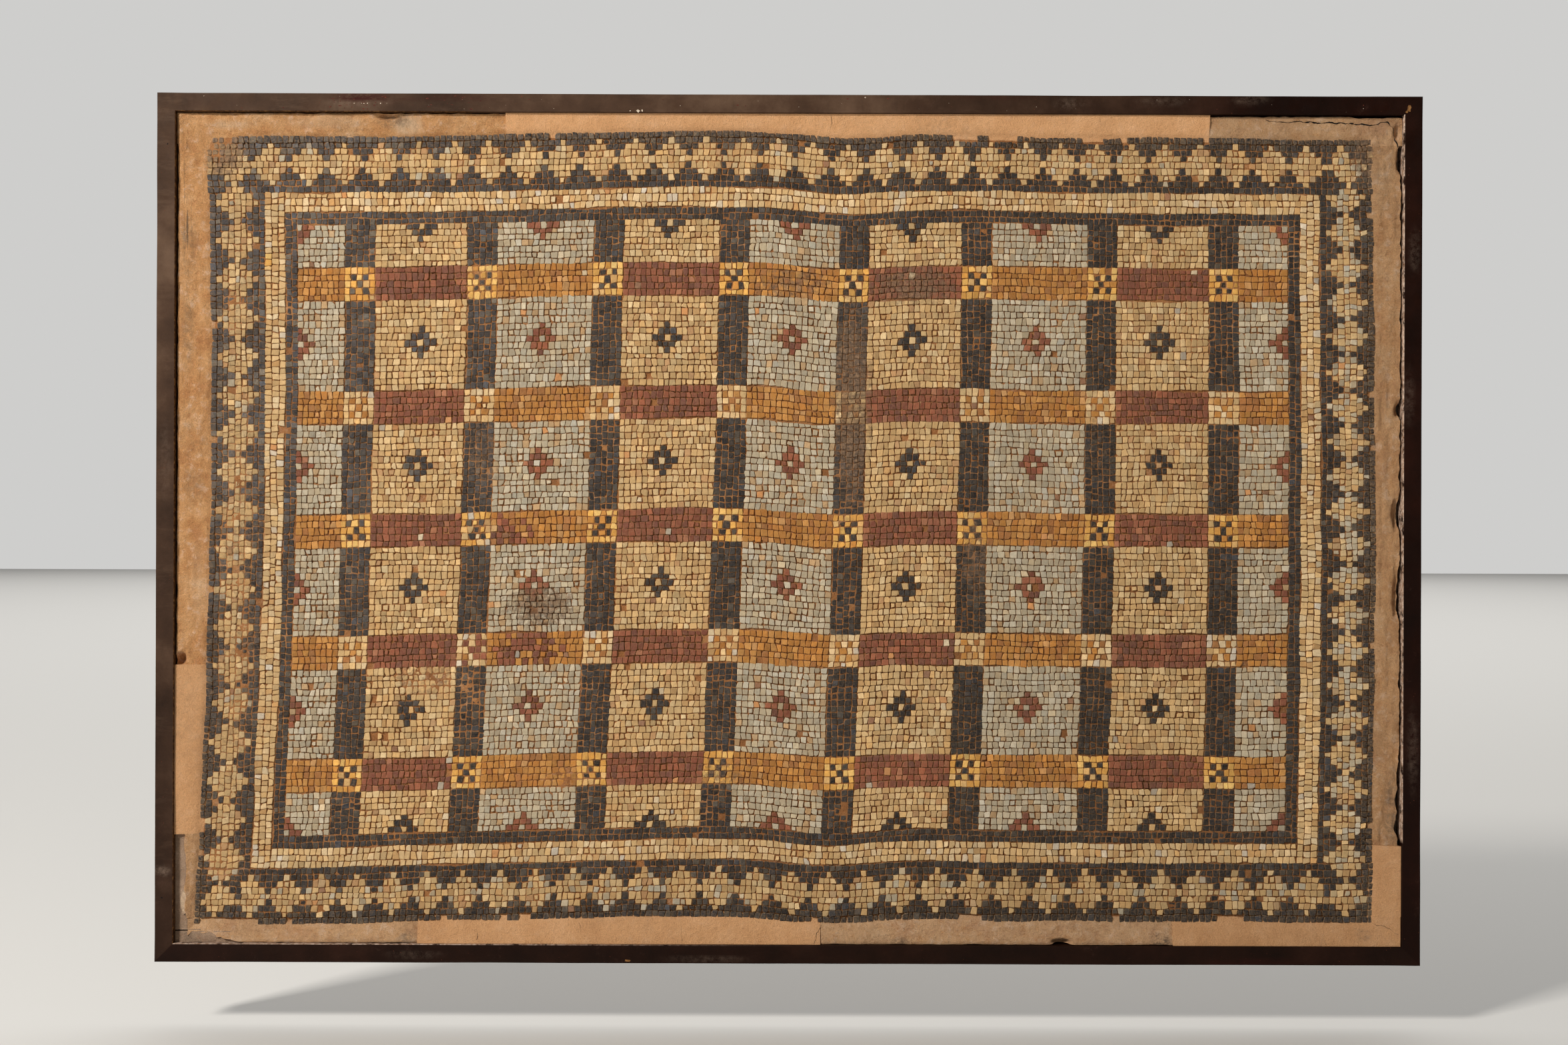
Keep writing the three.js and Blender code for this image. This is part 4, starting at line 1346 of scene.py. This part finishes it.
top_right_gap = ragged(1.6, 2.0, 31, [(880, 30, 2.0), (660, 30, 0.6)])
right_bells = [(560, 26, 5.0), (30, 28, 3.5), (-90, 40, 3.0), (180, 12, 3.0), (-410, 60, 6.0)]
middle_gap = ragged(0.5, 0.9, 61, [(412, 13, 3.0)])
bottom_left_gap = ragged(0.5, 0.9, 71, [(-880, 40, 16.0)])
# The number after the gap is shade, painted light and shade: the margins on the upper left are lightened and
# those on the right and in the bottom middle darkened, away from the lamp; on the right it is partly the
# mortar's dirtier tone too.
old_margin("margin_top_left", "top", -edge_x, top_low, ragged(1.0, 1.0, 21), 1.2)
old_margin("margin_top_right", "top", top_high, edge_x, top_right_gap, 1.0, 0.4)
old_margin("margin_left", "left", left_high, side_top[0], ragged(2.0, 1.2, 41), 1.25)
old_margin("margin_right", "right", corner_up, side_top[1], ragged(2.4, 2.6, 51, right_bells), 0.86, 0.2)
old_margin("margin_bottom_middle", "bottom", bottom_high, corner_along, middle_gap, 0.92, 0.45)
old_margin("margin_bottom_left", "bottom", -edge_x + 18, bottom_low, bottom_left_gap, 1.0, 0.4)
old_margin("margin_left_low", "left", side_bottom[0], left_low, ragged(14, 3.0, 91), 1.05, 0.3, 15.0)


# %% [markdown]
# ### Smooth repairs
#
# In four places newer mortar was trowelled in, up to the steel. It is smoother and more even, and
# nothing hides it. Copying the old margin and smoothing it would keep its ragged edge, so a repair
# takes the same grid and the same two distances, with a height of its own.

# %% Smooth repairs, trowelled up to the steel
SHOULDER = 2.2
UNDER_CREST = 2.0


def new_height(x, z):
    """A repair has a shoulder at the stones, 1 - exp(-d / 3), then rises evenly to 2 mm under its crest
    with share = d / (d + e), in faint trowel waves."""
    reach, e = outside(x, z), np.maximum(from_steel(x, z), 0)
    d = np.maximum(reach, 0)
    share = d / (d + e + 0.01)
    height = MORTAR_EDGE + SHOULDER * (1 - np.exp(-d / 3))
    height = height + (REPAIR_CREST - UNDER_CREST - MORTAR_EDGE - SHOULDER) * share
    height = height + 0.3 * rough(x, z, 80, 131) + 0.1 * rough(x, z, 7, 134)
    return np.where(reach < 0, under_stones(x, z, reach), np.minimum(height, FRAME_FRONT - 0.5))


RUSTY = [((868, -608), (12, 9), 0.5)]


def repair(name, side, start, end, nodes, shade):
    """One smooth repair, tight against the steel, faintly stained and rusty at one corner, with painted
    light and shade given by shade.
    """
    x, z = margin_grid(side, start, end, lambda u: 0.35 + 0 * u)
    vertices, faces = slab_of(x, z, new_height(x, z), LAYER_BACK)
    piece = new_piece(name, vertices, faces, new_mortar, nodes, smooth=True)
    x, z = vertices[:, 0], vertices[:, 2]
    faint = 0.2 * np.clip(rough(x, z, 90, 144), 0, 1)
    marks(piece, vertices, faint + place_map(x, z, RUSTY), shade=shade)


# The last number is shade, painted light and shade: the top and left repairs are lightened against the shade
# of slopes turned from the lamp, and the corner repair at the lower right is darkened, farther from it.
repair("repair_top_mortar", "top", top_low, top_high, ["repair_top"], 1.3)
repair("repair_bottom_mortar", "bottom", bottom_low, bottom_high, ["repair_bottom"], 1.0)
repair("repair_left_mortar", "left", left_low, left_high, ["repair_left"], 1.15)
repair("repair_corner_level", "bottom", corner_along, edge_x, ["repair_corner"], 0.88)
repair("repair_corner_upright", "right", side_bottom[1], corner_up, None, 0.92)

# %% [markdown]
# ### Cement laid bare
#
# Low on the left the old mortar has come away at the steel. The rough cement under it shows, and one
# plate of plaster still clings to it. A hole cut in the mortar with Boolean would have thin, ragged
# walls. Instead the mortar ends short of the steel there, and a second height field lies behind it.

# %% Cement laid bare low on the left
BARE_STEP = 2.2
BARE_WIDTH = 18.0
PLASTER = [((-906, -564), (8, 20), 1.0)]


def bare_cement(left, right, low, high):
    """Rough cement a little lower than the old mortar, which it dives under 18 mm from the steel. One
    plate of plaster stands on it, where an oval plus noise passes a half."""
    x, z = np.meshgrid(
        np.linspace(left, right, int((right - left) / BARE_STEP)),
        np.linspace(low, high, int((high - low) / BARE_STEP)),
    )
    plate = np.clip((place_map(x, z, PLASTER) + 0.22 * rough(x, z, 9, 151) - 0.5) * 9, 0, 1)
    buried = 1.1 * np.clip(from_steel(x, z) - BARE_WIDTH, 0, 14)
    height = STONE_FRONT + 2.6 + 0.4 * rough(x, z, 18, 152, 4) + 0.25 * rough(x, z, 5, 153)
    return slab_of(x, z, height + 1.3 * plate - buried, SLAB_FRONT + 1)


at_bar_x, at_bar_z = -INSIDE_X + 0.2, -INSIDE_Z + 0.2
bare_areas = [(at_bar_x, -884, -606, left_low), (at_bar_x, -826, at_bar_z, -608)]
vertices, faces = joined([bare_cement(*area) for area in bare_areas])
bare = new_piece("bare_cement", vertices, faces, bared_cement, None, smooth=True)
x, z = vertices[:, 0], vertices[:, 2]
plate_here = np.clip((place_map(x, z, PLASTER) - 0.4) * 5, 0, 1)
marks(bare, vertices, 0.5 * np.clip(rough(x, z, 24, 154), 0, 1), plate_here)

# %% [markdown]
# ### Cracks
#
# The mortar has cracked where it shrank from the steel. A crack cut into the mesh would need a far
# finer grid. A near-black jagged ribbon laid a hair above the mortar, painted shadow standing in for
# the dark depth of the crack, reads the same at this distance, and its height comes from the same
# functions as the mortar's.

# %% Cracks
LEVEL_REPAIRS_REACH = 632
CORNER_REPAIR = (579, -473)


def crack(points, width, seed):
    """A jagged ribbon through the given points, lying on the mortar: the line is sampled every
    1.2 mm, wanders by fractal noise, and its width swells and shrinks. Its near-black finish is painted
    shadow, the shade deep inside the crack."""
    points = np.array(points, dtype=float)
    steps = np.concatenate([[0], np.cumsum(np.linalg.norm(np.diff(points, axis=0), axis=1))])
    at = np.arange(0, steps[-1], 1.2)
    x, z = np.interp(at, steps, points[:, 0]), np.interp(at, steps, points[:, 1])
    x = x + 1.5 * rough(at, 0 * at, 9, seed, 5)
    z = z + 1.5 * rough(at, 0 * at, 9, seed + 20, 5)
    half = 0.5 * width * (0.15 + 1.2 * np.abs(rough(at, 0 * at, 11, seed + 40, 4))) * np.clip(at / 6, 0.1, 1)
    along_x, along_z = np.gradient(x), np.gradient(z)
    length = np.hypot(along_x, along_z) + 1e-6
    side_x, side_z = -along_z / length * half, along_x / length * half
    x, z = np.stack([x + side_x, x - side_x]), np.stack([z + side_z, z - side_z])
    z = np.clip(z, -INSIDE_Z + 0.3, INSIDE_Z - 0.3)
    x = np.clip(x, -INSIDE_X + 0.3, INSIDE_X - 0.3)
    on_new = (np.abs(x) < LEVEL_REPAIRS_REACH) | ((x > CORNER_REPAIR[0]) & (z < CORNER_REPAIR[1]))
    height = np.where(on_new, new_height(x, z), old_height(x, z)) + 0.35
    flat = np.column_stack([x.ravel(), -height.ravel(), z.ravel()])
    k = np.arange(len(at) - 1)
    return flat, [np.column_stack([k + len(at), k + len(at) + 1, k + 1, k])]


CRACKS = [
    ([(715, 617), (747, 615), (794, 614), (833, 613), (872, 611), (899, 615), (909, 605), (911, 590),
      (915, 574)], 1.7),
    ([(-317, -590), (-312, -598), (-310, -608)], 0.45), ([(-160, -592), (-158, -619)], 0.4),
    ([(-468, -596), (-466, -619)], 0.4), ([(881, -591), (902, -596), (919, -606)], 0.5),
    ([(60, 597), (62, 621)], 0.4), ([(52, -594), (46, -606), (40, -622)], 0.9),
    ([(-912, -546), (-900, -552), (-898, -566), (-900, -578), (-908, -584)], 0.9),
]
ribbons = [crack(points, width, 500 + 3 * k) for k, (points, width) in enumerate(CRACKS)]
vertices, faces = joined(ribbons)
# The ribbons are painted shadow: near-black where the crack's depth would lie in shade.
new_piece("mortar_cracks", vertices, faces, painted_hollow_shade, None, smooth=True)

# %% [markdown]
# ## The cement slab
#
# The slab is hidden in front, and it is the whole back. A scaled cube would do for that, but the same
# helper as before gives it a front with slow waves, so that a gap in the mortar shows no perfect plane.

# %% Slab
SLAB_STEP = 30.0
slab_x, slab_z = np.meshgrid(
    np.linspace(-INSIDE_X + 0.4, INSIDE_X - 0.4, int(2 * INSIDE_X / SLAB_STEP)),
    np.linspace(-INSIDE_Z + 0.4, INSIDE_Z - 0.4, int(2 * INSIDE_Z / SLAB_STEP)),
)
slab_height = SLAB_FRONT - 0.6 + 0.5 * rough(slab_x, slab_z, 80, 160)
vertices, faces = slab_of(slab_x, slab_z, slab_height, 0.2)
slab = new_piece("cement_slab", vertices, faces, cement, ["backing_slab"], smooth=False)
x, z = vertices[:, 0], vertices[:, 2]
marks(slab, vertices, 0.3 * np.clip(rough(x, z, 200, 170), 0, 1))

# %% [markdown]
# ## The steel frame
#
# Four bars, cut on the mitre and welded. Bevelled boxes would need their ends cut afterwards. Here
# each bar is a profile with softened edges carried along its side, shorter toward the inner edge, so
# that the ends meet at 45 degrees by themselves.

# %% Bars
EDGE_ROUND = 1.4
BACK_ROUND = 0.6
PROFILE_ARC = 4


def bar_profile():
    """Rounded rectangle as (depth from the outer face, height off the wall), anticlockwise, with a few
    more points on the face and the inner wall, so that attributes can change across them."""
    corners = [
        (0, 0, BACK_ROUND),
        (BAR_FACE, 0, BACK_ROUND),
        (BAR_FACE, FRAME_FRONT, EDGE_ROUND),
        (0, FRAME_FRONT, EDGE_ROUND),
    ]
    starts = [np.pi, 1.5 * np.pi, 0, 0.5 * np.pi]
    points = []
    for (depth, height, radius), start in zip(corners, starts):
        turn = start + np.linspace(0, np.pi / 2, PROFILE_ARC)
        centre_depth = depth + (radius if depth == 0 else -radius)
        centre_height = height + (radius if height == 0 else -radius)
        across = centre_depth + radius * np.cos(turn)
        points.append(np.column_stack([across, centre_height + radius * np.sin(turn)]))
        if (depth, height) == (BAR_FACE, FRAME_FRONT):
            face = np.linspace(BAR_FACE - 3, 3, 5)
            points.append(np.column_stack([face, np.full(5, FRAME_FRONT)]))
        if (depth, height) == (BAR_FACE, 0):
            wall = np.linspace(STONE_FRONT - 8, FRAME_FRONT - 4, 4)
            points.append(np.column_stack([np.full(4, BAR_FACE), wall]))
    return np.concatenate(points)


SCUFFS = [((-938, -516), (12, 7), 1.0), ((-645, 637), (50, 4), 0.7), ((420, 640), (22, 8), 0.5),
          ((560, 644), (40, 6), 0.4), ((690, 646), (26, 7), 0.5), ((930, 200), (8, 40), 0.35),
          ((938, 420), (8, 30), 0.5), ((938, -330), (8, 60), 0.4), ((-120, -646), (60, 5), 0.35),
          ((-560, -640), (40, 6), 0.3), ((-936, 100), (8, 60), 0.3)]
RUST_STAINS = [((-645, 646), (44, 7), 1.0), ((-600, 644), (40, 5), 0.6), ((-500, 646), (60, 5), 0.45),
               ((300, 648), (60, 4), 0.3), ((700, -648), (80, 5), 0.3)]


def frame_bar(name, half_length, place, node, lime, dust_and_sheen, rusty):
    """Carries the profile along the side: along = u (half length - depth), so the ends are mitred. The
    outer face wanders by a fraction of a millimetre, fading to nothing at the mitres."""
    profile = bar_profile()
    u = np.linspace(-1, 1, int(half_length / 3))
    along = u[:, None] * (half_length - profile[:, 0])
    depth = profile[:, 0] + np.zeros_like(along)
    height = profile[:, 1] + np.zeros_like(along)
    from_mitre = np.clip((half_length - np.abs(along)) / 40, 0, 1)
    depth = depth + np.where(depth < 2, (0.25 + 0.2 * rough(along, height, 120, 205)) * from_mitre, 0)
    x, z = place(along, depth)
    vertices = np.stack([x, -height, z], -1).reshape(-1, 3)
    sections, points = along.shape
    index = np.arange(sections * points).reshape(sections, points)
    ahead = np.roll(index, -1, 1)
    skin = np.stack([index[:-1], index[1:], ahead[1:], ahead[:-1]], -1).reshape(-1, 4)
    faces = [skin, index[0][None, :], index[-1][::-1][None, :]]
    piece = new_piece(name, vertices, faces, painted_steel, [node], smooth=False)
    on_wall = (profile[:, 0] > BAR_FACE - 1.2) & (profile[:, 1] > STONE_FRONT - 10)
    store(piece, "lime", (lime(along) * on_wall).ravel())
    store(piece, "dust_and_sheen", (dust_and_sheen(along) * np.ones(points)).ravel())
    store(piece, "rusty", (rusty(along) * on_wall).ravel())
    store(piece, "maroon", place_map(x, z, RUST_STAINS).ravel())
    store(piece, "scuffed", place_map(x, z, SCUFFS).ravel())


def level(value):
    """A function that gives the same value all along a bar."""
    return lambda along: value + 0 * along


# The sixth argument is dust and painted sheen: full on the left part of the top bar and the upper left bar,
# next to the lamp, faint on the bottom bar and none on the right.
frame_bar("steel_bar_top", HALF_WIDTH, lambda a, d: (a, HALF_HEIGHT - d), "frame_top",
          level(0), lambda a: np.clip((700 - a) / 700, 0, 1), lambda a: np.where(a < -480, 0.9, 0.0))
frame_bar("steel_bar_bottom", HALF_WIDTH, lambda a, d: (-a, d - HALF_HEIGHT), "frame_bottom",
          lambda a: 0.7 * np.exp(-(((a - 700) / 500) ** 4)), level(0.06), level(0))
frame_bar("steel_bar_left", HALF_HEIGHT, lambda a, d: (d - HALF_WIDTH, a), "frame_left",
          level(0), lambda a: np.clip(0.75 + a / 1500, 0, 1), level(0.9))
frame_bar("steel_bar_right", HALF_HEIGHT, lambda a, d: (HALF_WIDTH - d, -a), "frame_right",
          lambda a: np.where(a < 468, 1.0, 0.0), level(0.0), level(0))


# %% [markdown]
# ### Small marks on the steel
#
# Rust has lifted scabs on the top bar, old paint shows in spots, filler sticks to one corner and to the
# bottom bar, and two pins have left holes, which are near-black discs: painted shade for the inside of
# each hole. Each could be a texture, but scabs and chips stand proud and catch the light, so all are
# tiny low discs with a random outline, one mesh for each sort.

# %% Rust scabs, bare spots and pin holes
RIM = 9


def flakes(name, centres, sizes, material, rise):
    """Irregular discs on the face of the frame: nine rim points at random shares of the size, flush
    with the paint, a second ring at 0.7 of that, `rise` proud, and a middle point a little higher."""
    centres = np.asarray(centres, dtype=float)
    sizes = np.asarray(sizes, dtype=float).reshape(len(centres), -1) * np.ones(2)
    turn = np.linspace(0, 2 * np.pi, RIM, endpoint=False) + rng.uniform(0, 0.7, (len(centres), 1))
    reach = rng.uniform(0.6, 1.3, turn.shape)
    points = 2 * RIM + 1
    vertices = np.empty((len(centres), points, 3))
    for first, share, height in ((0, 1.0, 0.02), (RIM, 0.7, rise)):
        ring = slice(first, first + RIM)
        vertices[:, ring, 0] = centres[:, :1] + sizes[:, :1] * share * reach * np.cos(turn)
        vertices[:, ring, 2] = centres[:, 1:] + sizes[:, 1:] * share * reach * np.sin(turn)
        vertices[:, ring, 1] = -(FRAME_FRONT + height)
    vertices[:, -1, 0::2] = centres
    vertices[:, -1, 1] = -(FRAME_FRONT + rise * 1.2)
    k = np.arange(RIM)
    after = (k + 1) % RIM
    quads = np.column_stack([k, after, after + RIM, k + RIM])
    middle = np.column_stack([k + RIM, after + RIM, np.full(RIM, 2 * RIM)])
    steps = points * np.arange(len(centres))[:, None, None]
    faces = [(f + steps).reshape(-1, f.shape[1]) for f in (quads, middle)]
    new_piece(name, vertices.reshape(-1, 3), faces, material, None, smooth=True)


def on_top_bar(start, end, count):
    """Random places on the face of the top bar between two distances along it."""
    x = rng.uniform(start, end, count)
    return np.column_stack([x, rng.uniform(HALF_HEIGHT - BAR_FACE + 4, HALF_HEIGHT - 4, count)])


scabs = np.concatenate([on_top_bar(-690, -600, 22), on_top_bar(-545, -470, 14), on_top_bar(-900, 900, 14)])
flakes("rust_scabs", scabs, rng.uniform(0.4, 1.5, (len(scabs), 2)) * [1.8, 0.7], rust, 0.1)
large_spots = [(-228, 627), (-222, 627.4), (113, 648), (-240, 627)]
row_of_spots = on_top_bar(-900, 900, 24), on_top_bar(-660, -600, 8) * [1, 0] + [0, 637]
spots = np.concatenate([large_spots, *row_of_spots])
spot_sizes = np.concatenate([[2.4, 1.4, 1.2, 1.0], rng.uniform(0.2, 0.6, 24), rng.uniform(0.4, 1.0, 8)])
flakes("bare_spots", spots, spot_sizes, bare_paint, 0.06)
chips = [(929, 634), (926, 629), (-239, -648)]
flakes("tan_chips", chips, [(3.6, 4.6), (2.0, 2.0), (5, 1.6)], tan_filler, 0.05)
# Pin holes as near-black discs: painted shade for the hollow of each hole.
flakes("frame_pin_holes", [(-934, 575), (-939, -556)], [1.3, 1.3], painted_hollow_shade, 0.01)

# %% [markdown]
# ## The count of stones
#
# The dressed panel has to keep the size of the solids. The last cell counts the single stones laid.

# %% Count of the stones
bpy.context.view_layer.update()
points_laid = sum(len(bpy.data.objects[name].data.vertices) for name in STONE_PIECES)
print("single stones:", points_laid // STONE_POINTS)
